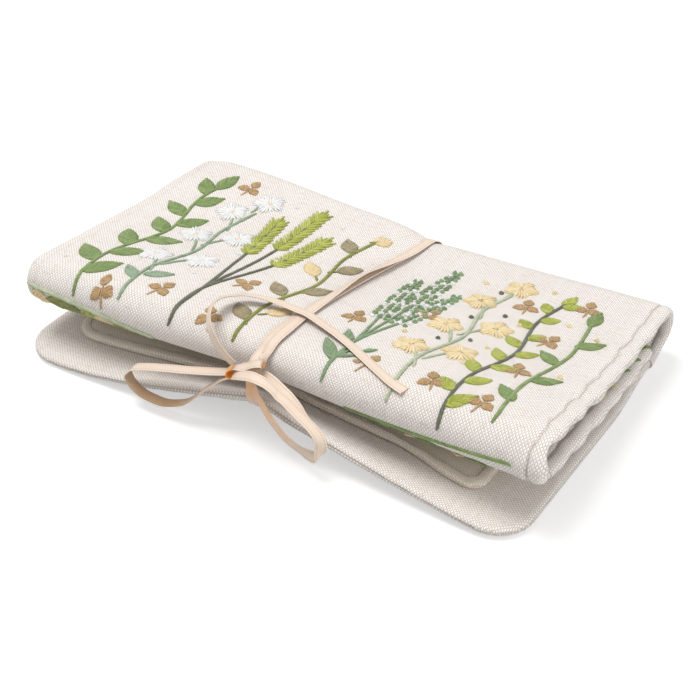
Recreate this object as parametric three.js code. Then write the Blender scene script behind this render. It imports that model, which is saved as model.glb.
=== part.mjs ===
// Needle book: a padded linen cover rolled shut over a linen page and a felt leaf,
// and tied round the middle with a narrow ribbon.
// Millimetres. X runs along the book, -Y points to its loose front edge, Z is up from the table.

import * as THREE from "three";

// Whole book
const BOOK_LENGTH = 200;          // back cover, end to end
const BOOK_DEPTH = 125;           // front edge to the back of the spine
const ROLL_SET_IN = 0.3;          // ends of the roll inside the ends of the back cover
const SPINE_HEIGHT = 26;          // outer height of the rounded spine
const CORNER_RADIUS = 16;         // loose corners of the back cover

// Plies of a padded panel
const LINEN = 0.8;                // one ply of linen
const BATTING = 1.6;              // padding between the two plies
const PLY_GAP = 0.3;              // air between neighbouring plies
const EDGE_ROLL = 5;              // width over which a panel thins towards its seam
const BATTING_INSET = 3;          // padding stops this far inside a seam
const HINGE_GAP = 0.6;            // air between two panels that fold against each other

// Front fold and inner flap
const FOLD_SET_BACK = 8.5;        // front edge of the book to the face of the fold
const FOLD_RADIUS = 8.5;          // outer radius of the fold
const FOLD_HEIGHT = 26;           // centre of the fold above the table
const COVER_SAG = 2.5;            // dip of the front cover between spine and fold
const INNER_END_HEIGHT = 9.8;     // under side of the inner flap at its loose end
const INNER_SET_BACK = 9;         // loose end of the inner flap to the spine
const COVER_LOFT = 2.6;           // extra padding on the lining side of the front cover
const INNER_LOFT = 1.2;           // extra padding on the lining side of the inner flap
const PINCH = 1.6;                // fold drawn in by the ribbon
const PINCH_REACH = 34;           // reach of that pinch along the book

// Bound ends of the roll
const BINDING_WIDTH = 6;          // linen binding beyond the stitched ditch
const BINDING_BULGE = 0.98;       // binding against the full panel thickness
const BINDING_PUFF = 19;          // length of one puff of the binding
const BINDING_WAVE = 0.5;         // how far the puffs swell and shrink
const DITCH = 0.3;                // padding left in the stitched ditch

// Loose front edge drawn up by the ribbon
const FLAP_LIFT = 13.5;           // height of the edge at the ribbon
const LIFT_REACH = 47.5;          // the lift starts this far behind the edge
const LIFT_CURVE = 1.6;           // how late the edge turns up
const LIFT_TAUT = 1.3;            // right of the ribbon the edge is drawn up nearly straight
const PULL_BACK = 0.42;           // edge drawn back for each millimetre of lift
const LIFT_ROW = 8;               // length of one facet of the lifted part
const SHARED_STOPS = [0.16, 0.235, 0.305];   // columns shared by every ply of the stack, of the book's length

// Leaves
const PAGE_LINEN = 0.7;           // one ply of the page
const PAGE_BATTING = 0.8;         // thin padding in the page
const PAGE_END_INSET = 16;        // page to the end of the book
const PAGE_FRONT_INSET = 15.5;    // page to the front edge
const PAGE_CORNER_RADIUS = 10;
const FELT = 1.6;                 // needle felt
const FELT_END_INSET = 24;        // felt to the end of the book
const FELT_FRONT_INSET = 28.5;    // felt to the front edge
const FELT_CORNER_RADIUS = 8;
const PAGE_BACK_GAP = 5.5;        // back edge of the page to the spine
const FELT_BACK_GAP = 3.5;        // back edge of the felt to the spine
const LEAF_GAP = 0.3;             // air between leaves

// Ribbon
const RIBBON_WIDTH = 4;
const RIBBON_THICK = 0.4;
const RIBBON_CLEAR = 0.4;         // air between the ribbon and what it lies on
const RIBBON_X = 1;               // where it passes under the book
const RIBBON_TOP_X = 1.5;         // where it passes over the front cover
const RIBBON_SLANT = 1.8;         // how far it wanders along the way
const STRAND_STEP = 0.6;          // second strand beside the first
const RIBBON_BED = 0.85;          // back cover raised over the ribbon
const BED_REACH = 8;              // half width of that raised bed
const KNOT = new THREE.Vector3(6.2, 3, 3.4);   // half sizes of the knot
const KNOT_GAP = 0.55;            // ribbon ends to the knot
const RIM_STEP = 2.5;             // where the ribbon leaves the under side for the rim
const LOOP_DROP = 22;             // how far the bow hangs below the knot
const LEFT_LOOP = 47;             // reach of the left loop
const RIGHT_LOOP = 33;            // reach of the right loop
const TAIL_RISE = 13;             // how high the long tail arches above the knot
const TAIL_REACH = 53;            // where the long tail ends on the cover
const SHORT_TAIL = 17;            // reach of the short tail beside the right loop

// Derived sizes
const PANEL = 2 * LINEN + BATTING + 2 * PLY_GAP;
const PAGE = 2 * PAGE_LINEN + PAGE_BATTING + 2 * PLY_GAP;
const ROLL_LENGTH = BOOK_LENGTH - 2 * ROLL_SET_IN;
const FRONT = -BOOK_DEPTH / 2;
const SPINE_RADIUS = SPINE_HEIGHT / 2;
const SPINE_Y = BOOK_DEPTH / 2 - SPINE_RADIUS;
const FOLD_Y = FRONT + FOLD_SET_BACK + FOLD_RADIUS;
const ROLL_HALF = ROLL_LENGTH / 2 - BINDING_WIDTH - PLY_GAP;
const PAGE_BACK = SPINE_Y - PAGE_BACK_GAP;
const FELT_BACK = SPINE_Y - FELT_BACK_GAP;

const linenOuter = new THREE.MeshStandardMaterial({ color: 0xe7e0d4, roughness: 0.92, metalness: 0 });
const linenLining = new THREE.MeshStandardMaterial({ color: 0xd5cbbf, roughness: 0.94, metalness: 0 });
const linenPage = new THREE.MeshStandardMaterial({ color: 0xd9cfc4, roughness: 0.94, metalness: 0 });
const linenBinding = new THREE.MeshStandardMaterial({ color: 0xe9e3d8, roughness: 0.93, metalness: 0 });
const cottonBatting = new THREE.MeshStandardMaterial({ color: 0xf3f0e8, roughness: 1, metalness: 0 });
const woolFelt = new THREE.MeshStandardMaterial({ color: 0xeee4cd, roughness: 0.97, metalness: 0 });
const satinRibbon = new THREE.MeshStandardMaterial({ color: 0xefc6a3, roughness: 0.6, metalness: 0 });

const part = new THREE.Group();
part.name = "needle_book";

// Small helpers
const ease = (t) => { const c = Math.min(1, Math.max(0, t)); return c * c * (3 - 2 * c); };
const bell = (d, reach) => Math.exp(-((d / reach) ** 2));
const steps = (from, to, count) =>
  Array.from({ length: count + 1 }, (_, i) => from + ((to - from) * i) / count);

// One closed body from rings of equal length; the first and last ring are capped flat.
function lofted(rings) {
  const sides = rings[0].length;
  const points = rings.flat();
  const faces = [];
  for (let i = 0; i + 1 < rings.length; i++)
    for (let j = 0; j < sides; j++) {
      const a = i * sides + j, b = i * sides + ((j + 1) % sides);
      faces.push([a, b, b + sides], [a, b + sides, a + sides]);
    }
  const last = (rings.length - 1) * sides;
  for (let j = 1; j + 1 < sides; j++) {
    faces.push([0, j + 1, j]);
    faces.push([last, last + j, last + j + 1]);
  }
  return closedBody(points, faces);
}

// Indexed geometry, turned so that its faces look outward.
function closedBody(points, faces) {
  let volume = 0;
  for (const [a, b, c] of faces)
    volume += points[a].dot(points[b].clone().cross(points[c]));
  const index = faces.flatMap(([a, b, c]) => (volume < 0 ? [a, c, b] : [a, b, c]));
  const geometry = new THREE.BufferGeometry();
  geometry.setAttribute("position",
    new THREE.Float32BufferAttribute(points.flatMap((p) => [p.x, p.y, p.z]), 3));
  geometry.setIndex(index);
  geometry.computeVertexNormals();
  return geometry;
}

function add(name, geometry, material) {
  const mesh = new THREE.Mesh(geometry, material);
  mesh.name = name;
  part.add(mesh);
  return mesh;
}

// Unit normal of a surface at (x, v), turned to the lining side.
function normalAt(surface, x, v, side) {
  const d = 1e-3;
  const along = surface(x + d, v).sub(surface(x - d, v));
  const across = surface(x, v + d).sub(surface(x, v - d));
  return along.cross(across).normalize().multiplyScalar(side);
}

// A point moved along the normal of a panel's surface, past the base that the panel lies on.
function offsetPoint(panel, x, v, offset) {
  const normal = normalAt(panel.surface, x, v, panel.side);
  return panel.surface(x, v).addScaledVector(normal, (panel.base ?? 0) + offset);
}

// One ply of a panel: the body between two offsets of its surface.
function ply(panel, columns, rows, low, high) {
  const across = columns(rows[0]).length, down = rows.length, count = across * down;
  const points = [];
  for (const offset of [low, high])
    for (const v of rows)
      for (const x of columns(v)) points.push(offsetPoint(panel, x, v, offset(x, v)));
  const at = (face, r, c) => face * count + r * across + c;
  const faces = [];
  const quad = (a, b, c, d) => faces.push([a, b, c], [a, c, d]);
  for (let r = 0; r + 1 < down; r++)
    for (let c = 0; c + 1 < across; c++) {
      quad(at(0, r, c), at(0, r + 1, c), at(0, r + 1, c + 1), at(0, r, c + 1));
      quad(at(1, r, c), at(1, r, c + 1), at(1, r + 1, c + 1), at(1, r + 1, c));
    }
  for (let r = 0; r + 1 < down; r++) {
    const end = across - 1;
    quad(at(0, r, 0), at(1, r, 0), at(1, r + 1, 0), at(0, r + 1, 0));
    quad(at(0, r, end), at(0, r + 1, end), at(1, r + 1, end), at(1, r, end));
  }
  for (let c = 0; c + 1 < across; c++) {
    const end = down - 1;
    quad(at(0, 0, c), at(0, 0, c + 1), at(1, 0, c + 1), at(1, 0, c));
    quad(at(0, end, c), at(1, end, c), at(1, end, c + 1), at(0, end, c + 1));
  }
  return closedBody(points, faces);
}

// Outer ply, padding and lining of one panel. The padding follows its own, smaller outline,
// and its loft pushes the lining further in.
function paddedPanel(name, panel, linen, padding, materials) {
  const core = (x, v) => (padding / 2) * panel.puff(x, v);
  const { columns, rows, padColumns, padRows } = panel;
  const loft = panel.loft ?? (() => 0);
  const fill = (x, v) => core(x, v) * panel.puff(x, v);
  const inner = (x, v) => core(x, v) + PLY_GAP;
  const outer = (x, v) => core(x, v) + PLY_GAP + linen;
  add(`${name}_outer`, ply(panel, columns, rows,
    (x, v) => -outer(x, v), (x, v) => -inner(x, v)), materials[0]);
  add(`${name}_batting`, ply(panel, padColumns, padRows,
    (x, v) => -fill(x, v), (x, v) => fill(x, v) + loft(x, v)), cottonBatting);
  add(`${name}_lining`, ply(panel, columns, rows,
    (x, v) => inner(x, v) + loft(x, v), (x, v) => outer(x, v) + loft(x, v)), materials[1]);
}

// Half width of an outline with rounded front corners.
function roundedHalf(half, front, radius) {
  return (y) => {
    const d = Math.min(radius, Math.max(0, y - front));
    return half - radius + Math.sqrt(radius ** 2 - (radius - d) ** 2);
  };
}

// Rows down a panel, close together where its front corners turn and where it lifts.
function cornerRows(front, radius, back, turns) {
  const corner = steps(0, Math.PI / 2, turns).map((a) => front + radius * (1 - Math.cos(a)));
  const shared = steps(FRONT + LIFT_REACH % LIFT_ROW, FRONT + LIFT_REACH, Math.floor(LIFT_REACH / LIFT_ROW))
    .filter((y) => y > front + radius + LIFT_ROW / 4);
  const level = shared.length ? shared[shared.length - 1] : front + radius;
  return corner.concat(shared, steps(level, back, 2).slice(1));
}

// Columns along the book: shared ones near the ribbon, then out to each row's own end.
const bedStops = [-2, -1, -0.5, 0, 0.5, 1, 2].map((k) => RIBBON_X + k * BED_REACH);
const stackColumns = (halfWidth) => (y) => {
  const half = halfWidth(y), stops = SHARED_STOPS.map((k) => k * BOOK_LENGTH), last = stops[stops.length - 1];
  const rest = half - EDGE_ROLL - last;
  const right = [...stops, last + rest / 2, half - EDGE_ROLL, half - EDGE_ROLL / 2, half];
  return [...right.map((x) => -x).reverse(), ...bedStops, ...right];
};
const rollStops = [1, 1 - EDGE_ROLL / ROLL_HALF, 0.7].map((k) => k * ROLL_HALF);
const pinchStops = [-1, -0.5, 0, 0.5, 1].map((k) => RIBBON_TOP_X + k * PINCH_REACH);
const rollColumns = () => [...rollStops.map((x) => -x), ...pinchStops, ...rollStops.slice().reverse()];
const spineColumns = () => [-rollStops[0], -rollStops[1], ...bedStops, rollStops[1], rollStops[0]];

// Back cover, with the loose front edge drawn up to the ribbon
const bedAt = (x) => RIBBON_BED * bell(x - RIBBON_X, BED_REACH);
const liftAt = (x, y) => {
  const taut = x > RIBBON_X;
  const reach = BOOK_LENGTH / 2 - (taut ? RIBBON_X : CORNER_RADIUS + RIBBON_X);
  const away = Math.min(1, Math.abs(x - RIBBON_X) / reach);
  const tent = taut ? (1 - away) ** LIFT_TAUT : (1 - away) ** 2 * (1 + away);
  const rise = Math.min(1, Math.max(0, (FRONT + LIFT_REACH - y) / LIFT_REACH)) ** LIFT_CURVE;
  return { rise, height: FLAP_LIFT * tent * rise };
};
const stackSurface = (x, y) => {
  const { rise, height } = liftAt(x, y);
  return new THREE.Vector3(x, y + PULL_BACK * height * rise, PANEL / 2 + height + bedAt(x));
};
const backHalf = roundedHalf(BOOK_LENGTH / 2, FRONT, CORNER_RADIUS);
const backPuff = (x, y) => ease(Math.min(y - FRONT, backHalf(y) - Math.abs(x)) / EDGE_ROLL);
const backCover = {
  surface: stackSurface, side: 1, puff: backPuff,
  columns: stackColumns(backHalf),
  rows: cornerRows(FRONT, CORNER_RADIUS, SPINE_Y - HINGE_GAP, 5),
  padColumns: stackColumns(roundedHalf(BOOK_LENGTH / 2 - BATTING_INSET, FRONT + BATTING_INSET,
    CORNER_RADIUS - BATTING_INSET)),
  padRows: cornerRows(FRONT + BATTING_INSET, CORNER_RADIUS - BATTING_INSET, SPINE_Y - HINGE_GAP, 5),
};
paddedPanel("back_cover", backCover, LINEN, BATTING, [linenOuter, linenLining]);

// Roll: spine, front cover with its fold, inner flap
const pinchAt = (x) => PINCH * bell(x - RIBBON_TOP_X, PINCH_REACH);
const rollPuff = (x) => DITCH + (1 - DITCH) * ease((ROLL_HALF - Math.abs(x)) / EDGE_ROLL);

const spineSurface = (x, angle) => new THREE.Vector3(x,
  SPINE_Y + (SPINE_RADIUS - PANEL / 2) * Math.cos(angle),
  SPINE_RADIUS + (SPINE_RADIUS - PANEL / 2) * Math.sin(angle) + bedAt(x) * ease(-Math.sin(angle)));
const spineRows = steps(-Math.PI / 2, Math.PI / 2, 12);
const spine = {
  surface: spineSurface, side: 1, puff: rollPuff, rows: spineRows, padRows: spineRows,
  columns: spineColumns, padColumns: spineColumns,
};

// The front cover runs on v from 0 at the spine to 1 at the fold, then on to 2 round the fold.
const coverStart = SPINE_Y - HINGE_GAP;
const coverSurface = (x, v) => {
  const radius = FOLD_RADIUS - pinchAt(x) - PANEL / 2;
  if (v <= 1) {
    const level = SPINE_HEIGHT - PANEL / 2, crest = FOLD_HEIGHT + radius;
    const t = Math.max(0, v);
    const dip = COVER_SAG * 16 * t * t * (1 - t) * (1 - t);
    return new THREE.Vector3(x, coverStart + (FOLD_Y - coverStart) * v,
      level + (crest - level) * ease(t) - dip);
  }
  const turn = Math.PI * (v - 1);
  return new THREE.Vector3(x, FOLD_Y - radius * Math.sin(turn), FOLD_HEIGHT + radius * Math.cos(turn));
};
const coverRows = steps(0, 1, 8).concat(steps(1, 2, 11).slice(1));
const frontCover = {
  surface: coverSurface, side: 1, puff: rollPuff, rows: coverRows, padRows: coverRows,
  columns: rollColumns, padColumns: rollColumns,
  loft: (x, v) => COVER_LOFT * ease(v / 0.35) * ease((1 - v) / 0.4),
};

// The inner flap runs on y, from the fold back to its loose end.
const innerStart = FOLD_Y + HINGE_GAP, innerEnd = SPINE_Y - INNER_SET_BACK;
const innerSurface = (x, y) => {
  const start = FOLD_HEIGHT - FOLD_RADIUS + pinchAt(x) + PANEL / 2;
  const end = INNER_END_HEIGHT + PANEL / 2;
  return new THREE.Vector3(x, y, start + (end - start) * ease((y - FOLD_Y) / (innerEnd - FOLD_Y)));
};
const innerRows = steps(innerStart, innerEnd - EDGE_ROLL, 6).concat([innerEnd - EDGE_ROLL / 2, innerEnd]);
const innerFlap = {
  surface: innerSurface, side: 1, columns: rollColumns, padColumns: rollColumns,
  puff: (x, y) => Math.min(rollPuff(x), ease((innerEnd - y) / EDGE_ROLL)),
  loft: (x, y) => INNER_LOFT * ease((y - FOLD_Y) / FOLD_HEIGHT) * ease((innerEnd - y) / (2 * EDGE_ROLL)),
  rows: innerRows,
  padRows: innerRows.slice(0, -1).map((y) => Math.min(y, innerEnd - BATTING_INSET)),
};

// Turns each roll surface so that its normal points to the lining, inside the roll.
const towards = (panel, x, v, inside) => {
  const out = normalAt(panel.surface, x, v, 1).dot(inside.clone().sub(panel.surface(x, v)));
  panel.side = Math.sign(out);
};
towards(spine, 0, 0, new THREE.Vector3(0, SPINE_Y, SPINE_RADIUS));
towards(frontCover, 0, 1.5, new THREE.Vector3(0, FOLD_Y, FOLD_HEIGHT));
towards(innerFlap, 0, (innerStart + innerEnd) / 2, new THREE.Vector3(0, FOLD_Y, SPINE_HEIGHT));
towards(backCover, 0, 0, new THREE.Vector3(0, 0, SPINE_HEIGHT));

paddedPanel("spine", spine, LINEN, BATTING, [linenOuter, linenLining]);
paddedPanel("front_cover", frontCover, LINEN, BATTING, [linenOuter, linenLining]);
paddedPanel("inner_flap", innerFlap, LINEN, BATTING, [linenOuter, linenLining]);

// Bound ends: a puffy strip of linen that closes each end of the roll
function binding(name, panel, rows, end) {
  const full = (BINDING_BULGE * PANEL) / 2, ditch = (BATTING / 2) * DITCH + PLY_GAP + LINEN;
  const path = rows.map((v) => panel.surface(end * ROLL_HALF, v));
  let run = 0;
  const rings = rows.map((v, i) => {
    if (i > 0) run += path[i].distanceTo(path[i - 1]);
    const wave = BINDING_WAVE * Math.sin((2 * Math.PI * run) / BINDING_PUFF);
    const normal = normalAt(panel.surface, end * ROLL_HALF, v, panel.side);
    const width = BINDING_WIDTH - BINDING_WAVE + wave, bulge = full - BINDING_WAVE * 0.3 + wave * 0.3;
    const loft = panel.loft ? panel.loft(end * ROLL_HALF, v) : 0;
    const section = [[0, -ditch], [0.3, -bulge], [0.7, -0.88 * bulge], [1, -0.35 * bulge],
      [1, 0.35 * bulge + 0.6 * loft], [0.7, 0.88 * bulge + loft], [0.3, bulge + loft], [0, ditch + loft]];
    return section.map(([e, n]) => path[i].clone()
      .add(new THREE.Vector3(end * (PLY_GAP + e * width), 0, 0)).addScaledVector(normal, n));
  });
  add(name, lofted(rings), linenBinding);
}
const puffRows = (from, to, count) => steps(from, to, count);
for (const [word, end] of [["left", -1], ["right", 1]]) {
  binding(`spine_binding_${word}`, spine, spineRows, end);
  binding(`front_binding_${word}`, frontCover, puffRows(0, 1, 22).concat(coverRows.slice(9)), end);
  binding(`inner_binding_${word}`, innerFlap, puffRows(innerStart, innerEnd, 18), end);
}

// Leaves on the back cover: the linen page and the needle felt
function leaf(inset, front, radius) {
  const half = BOOK_LENGTH / 2 - inset, edge = FRONT + front;
  return { half, edge, halfWidth: roundedHalf(half, edge, radius) };
}
const pageOutline = leaf(PAGE_END_INSET, PAGE_FRONT_INSET, PAGE_CORNER_RADIUS);
const page = {
  surface: stackSurface, side: backCover.side, base: PANEL / 2 + LEAF_GAP + PAGE / 2,
  puff: (x, y) => ease(Math.min(y - pageOutline.edge, pageOutline.halfWidth(y) - Math.abs(x)) / EDGE_ROLL),
  columns: stackColumns(pageOutline.halfWidth),
  rows: cornerRows(pageOutline.edge, PAGE_CORNER_RADIUS, PAGE_BACK, 4),
  padColumns: stackColumns(roundedHalf(pageOutline.half - BATTING_INSET,
    pageOutline.edge + BATTING_INSET, PAGE_CORNER_RADIUS - BATTING_INSET)),
  padRows: cornerRows(pageOutline.edge + BATTING_INSET, PAGE_CORNER_RADIUS - BATTING_INSET, PAGE_BACK, 4),
};
paddedPanel("page", page, PAGE_LINEN, PAGE_BATTING, [linenPage, linenPage]);

const feltOutline = leaf(FELT_END_INSET, FELT_FRONT_INSET, FELT_CORNER_RADIUS);
const felt = {
  surface: stackSurface, side: backCover.side, base: page.base + PAGE / 2 + LEAF_GAP + FELT / 2,
};
add("needle_felt", ply(felt, stackColumns(feltOutline.halfWidth),
  cornerRows(feltOutline.edge, FELT_CORNER_RADIUS, FELT_BACK, 4),
  () => -FELT / 2, () => FELT / 2), woolFelt);

// Ribbon: a flat strip along a route, with its width turned to follow the given sides
function strip(name, route, sides, count) {
  const path = new THREE.CatmullRomCurve3(route, false, "centripetal");
  const turn = new THREE.CatmullRomCurve3(sides, false, "centripetal");
  const w = RIBBON_WIDTH / 2, h = RIBBON_THICK / 2, round = 0.84;
  const section = [[-w, -h / 2], [-round * w, -h], [round * w, -h], [w, -h / 2],
    [w, h / 2], [round * w, h], [-round * w, h], [-w, h / 2]];
  const rings = steps(0, 1, count).map((t) => {
    const tangent = path.getTangent(t), middle = path.getPoint(t);
    const across = turn.getPoint(t);
    across.addScaledVector(tangent, -across.dot(tangent)).normalize();
    const face = tangent.clone().cross(across);
    return section.map(([a, b]) => middle.clone().addScaledVector(across, a).addScaledVector(face, b));
  });
  add(name, lofted(rings), satinRibbon);
  return path.getLength();
}

const knotAt = new THREE.Vector3(RIBBON_X - 1,
  FRONT + FOLD_SET_BACK - KNOT.y - RIBBON_CLEAR + PINCH / 2, FOLD_HEIGHT + 0.6);

// First strand: over the front cover, round the spine, under the book and up to the knot
const topX = (v) => RIBBON_TOP_X - 1 + RIBBON_SLANT * (1 - 2 * Math.min(1, v)) ** 2;
const clearOf = PANEL / 2 + RIBBON_CLEAR + RIBBON_THICK / 2;
const coverStops = [1.24, 1.08, 0.94, 0.78, 0.6, 0.42, 0.24, 0.08];
const overTop = coverStops.map((v) => offsetPoint(frontCover, topX(v), v, -clearOf));
const roundSpine = steps(Math.PI / 2, -Math.PI / 2, 8).map((a) => {
  const across = topX(0) + (RIBBON_X - topX(0)) * ease(0.5 - a / Math.PI);
  return offsetPoint(spine, across, a, -clearOf);
});
const underStops = steps(SPINE_Y - SPINE_RADIUS, FRONT + LIFT_REACH, 3)
  .concat(steps(FRONT + LIFT_REACH, FRONT + RIM_STEP, 7).slice(1));
const underBook = underStops.map((y) => offsetPoint(backCover, RIBBON_X, y, -clearOf));
const frontEdge = stackSurface(RIBBON_X, FRONT);
const rim = LINEN + PLY_GAP + RIBBON_CLEAR;
const wrap = [
  knotAt.clone().add(new THREE.Vector3(RIBBON_TOP_X - knotAt.x, 0, KNOT.z + KNOT_GAP)),
  ...overTop, ...roundSpine, ...underBook,
  frontEdge.clone().add(new THREE.Vector3(0, -0.7 * rim, -0.7 * rim)),
  frontEdge.clone().add(new THREE.Vector3(0, -rim, 0)),
  frontEdge.clone().add(new THREE.Vector3(0, -0.9 * rim, rim)),
  knotAt.clone().add(new THREE.Vector3(0, 0, -KNOT.z - KNOT_GAP)),
];
for (const p of wrap) p.z = Math.max(p.z, RIBBON_THICK / 2 + RIBBON_CLEAR / 2);
const alongBook = (route) => route.map(() => new THREE.Vector3(1, 0, 0));
let ribbonLength = strip("ribbon_wrap", wrap, alongBook(wrap), 72);

// Second strand, lying on the first from the knot to the back of the spine
const stacked = clearOf + RIBBON_THICK + RIBBON_CLEAR;
const overX = (v) => RIBBON_TOP_X + STRAND_STEP + 2 * RIBBON_SLANT * (0.5 - Math.min(1, v)) ** 2;
const second = [
  knotAt.clone().add(new THREE.Vector3(RIBBON_TOP_X + STRAND_STEP / 2 - knotAt.x, 0,
    KNOT.z + KNOT_GAP + RIBBON_THICK + RIBBON_CLEAR)),
  ...coverStops.map((v) => offsetPoint(frontCover, overX(v), v, -stacked)),
  ...steps(Math.PI / 2, -Math.PI / 6, 5).map((a) => offsetPoint(spine, overX(0), a, -stacked)),
];
ribbonLength += strip("ribbon_second_strand", second, alongBook(second), 34);

// Knot: a rounded lump in front of the fold
const knotRings = steps(-0.46, 0.46, 8).map((t) => {
  const lean = Math.PI * t, girth = Math.cos(lean);
  return steps(0, 2 * Math.PI, 10).slice(0, -1).map((a) => new THREE.Vector3(
    knotAt.x + KNOT.x * Math.sin(lean), knotAt.y + KNOT.y * girth * Math.cos(a),
    knotAt.z + KNOT.z * girth * Math.sin(a)));
});
add("ribbon_knot", lofted(knotRings), satinRibbon);

// Bow loops and tails, set out from the knot
const from = (x, y, z) => knotAt.clone().add(new THREE.Vector3(x, y, z));
const sides = (list) => list.map(([x, y, z]) => new THREE.Vector3(x, y, z));
const loop = (reach, stops) => stops.map(([x, y, z]) => from(x * reach, y, z * LOOP_DROP));
const leftLoop = [from(-KNOT.x - KNOT_GAP, -1.3, -2.4), ...loop(-LEFT_LOOP, [
  [0.22, -1.6, -0.17], [0.46, -2.8, -0.305], [0.705, -4, -0.42], [0.895, -4.9, -0.53], [0.97, -5.4, -0.6],
  [1.01, -6, -0.73], [0.97, -6.5, -0.85], [0.88, -6.9, -0.945], [0.777, -7, -0.973], [0.677, -6.9, -0.973],
  [0.58, -6.7, -0.91], [0.483, -6.3, -0.814], [0.42, -5.8, -0.7], [0.334, -4.9, -0.505], [0.25, -3.8, -0.332]]),
  from(-KNOT.x - KNOT_GAP, -2.3, -3.7)];
const level = new THREE.Vector3(0, -0.985, -0.17);
ribbonLength += strip("bow_loop_left", leftLoop, leftLoop.map(() => level), 52);

const rightLoop = [from(KNOT.x + 0.15, -1.2, 0.9), from(1.45 * KNOT.x, -4.8, 1.3), ...loop(RIGHT_LOOP, [
  [0.343, -5.3, 0.036], [0.418, -5.6, 0], [0.488, -5.9, -0.045], [0.548, -6.2, -0.086], [0.636, -6.6, -0.155],
  [0.733, -6.9, -0.227], [0.83, -7.2, -0.31], [0.918, -7.6, -0.39], [0.973, -8.1, -0.486], [0.99, -8.4, -0.605], [0.97, -8.4, -0.736], [0.915, -8, -0.86],
  [0.836, -7.4, -0.873], [0.685, -6.8, -0.836], [0.533, -6.3, -0.76], [0.418, -5.9, -0.636],
  [0.318, -5.4, -0.514], [0.227, -4.7, -0.37]]),
  from(0.145 * RIGHT_LOOP, -3.7, -KNOT.z - 4 * KNOT_GAP)];
const rightSides = sides([[0, 1, -0.07], [-0.04, 0.97, -0.23], [-0.05, 0.96, -0.26], [-0.03, 0.96, -0.27],
  [-0.01, 0.96, -0.27], [0.01, 0.97, -0.25], [0.04, 0.98, -0.21], [0.09, 0.99, -0.14], [0.16, 0.99, -0.04], [0.31, 0.95, 0.1], [0.56, 0.81, 0.15],
  [0.8, 0.6, 0.11], ...Array(3).fill([0.84, 0.54, 0]), ...Array(6).fill([0.6, -0.15, 0.78])]);
ribbonLength += strip("bow_loop_right", rightLoop, rightSides, 52);

const onCover = (x, v, height) => offsetPoint(frontCover, x, v,
  -(PANEL / 2 + RIBBON_CLEAR + RIBBON_THICK / 2 + height));
const strands = 2 * (RIBBON_THICK + RIBBON_CLEAR) + RIBBON_CLEAR;
const longTail = [[-1.68, 0, 0.19], [-2.13, -0.3, 0.45], [-2.6, 0.6, 0.77], [-3.02, 3.5, 0.9], [-3.35, 8, 1],
  [-3.56, 13.5, 0.94], [-3.55, 19.5, 0.81]].map(([x, y, z]) => from(x * KNOT.x, y, z * TAIL_RISE));
longTail.unshift(from(-KNOT.x - 3 * KNOT_GAP, 0.1, 0.5));
longTail.push(...[[-0.372, 0.863, strands + 0.6], [-0.27, 0.834, strands + 0.4], [-0.149, 0.822, strands + 0.2],
  [-0.015, 0.82, strands], [0.07, 0.823, strands], [0.22, 0.849, 1.5], [0.35, 0.876, 1], [0.487, 0.909, 0.5],
  [0.626, 0.949, 0.2], [0.787, 0.994, 0.05], [0.913, 1.084, 0], [1.01, 1.132, 0],
].map(([x, v, height]) => onCover(x * TAIL_REACH, v, height)));
const tailSides = sides([[-0.58, 0.19, -0.79], [-0.69, 0.16, -0.7], [-0.78, 0.15, -0.61], [-0.63, 0.21, -0.74],
  [-0.49, 0.03, -0.87], [-0.58, -0.16, -0.8], [-0.82, -0.2, -0.53], [-0.94, 0.11, -0.33], [-0.7, 0.63, -0.34],
  [-0.34, 0.9, -0.29], [-0.11, 0.97, -0.2], [-0.04, 0.98, -0.17], [0.18, 0.96, -0.2], [0.33, 0.92, -0.23],
  [0.38, 0.9, -0.22], [0.43, 0.88, -0.22], [0.46, 0.87, -0.19], [0.43, 0.89, -0.12], [0.33, 0.94, -0.02],
  [0.25, 0.97, 0.05]]);
ribbonLength += strip("ribbon_tail_long", longTail, tailSides, 60);

const shortTail = [from(KNOT.x + 2 * KNOT_GAP, -0.6, 2.3), ...[[0.557, -3.2, 2.96], [0.698, -3.8, 2.63],
  [0.847, -4.4, 1.79], [0.996, -5, 0.75], [1.145, -5.6, -0.32], [1.274, -6, -1.6], [1.41, -6.5, -3.4],
].map(([x, y, z]) => from(x * SHORT_TAIL, y, z))];
const shortSides = sides([[0.25, 0.93, -0.28], [0.22, 0.92, -0.34], [0.12, 0.91, -0.4], [0.05, 0.9, -0.43],
  [0, 0.9, -0.42], [-0.03, 0.91, -0.41], [-0.05, 0.92, -0.36], [-0.05, 0.95, -0.3]]);
ribbonLength += strip("ribbon_tail_short", shortTail, shortSides, 20);

console.log(`ribbon length shown ${ribbonLength.toFixed(0)} mm`);

export default part;
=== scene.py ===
# %% [markdown]
# # A linen needle book, rolled shut and tied
# The real book is one long padded strip of linen. It lies flat as the back cover, turns up
# round a spine, comes forward as the front cover, rolls over in a soft front fold and goes
# back inside as a flap. A linen page and a felt leaf for the needles lie between, and a
# narrow ribbon with a bow keeps it all shut. The outside is embroidered.
#
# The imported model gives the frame: every panel below follows the middle surface of the CAD
# panel that it stands for, and then settles a little, as padded cloth does.

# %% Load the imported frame
import bpy, bmesh, math
import numpy as np
from mathutils import Vector, Matrix
from mathutils.bvhtree import BVHTree


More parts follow.
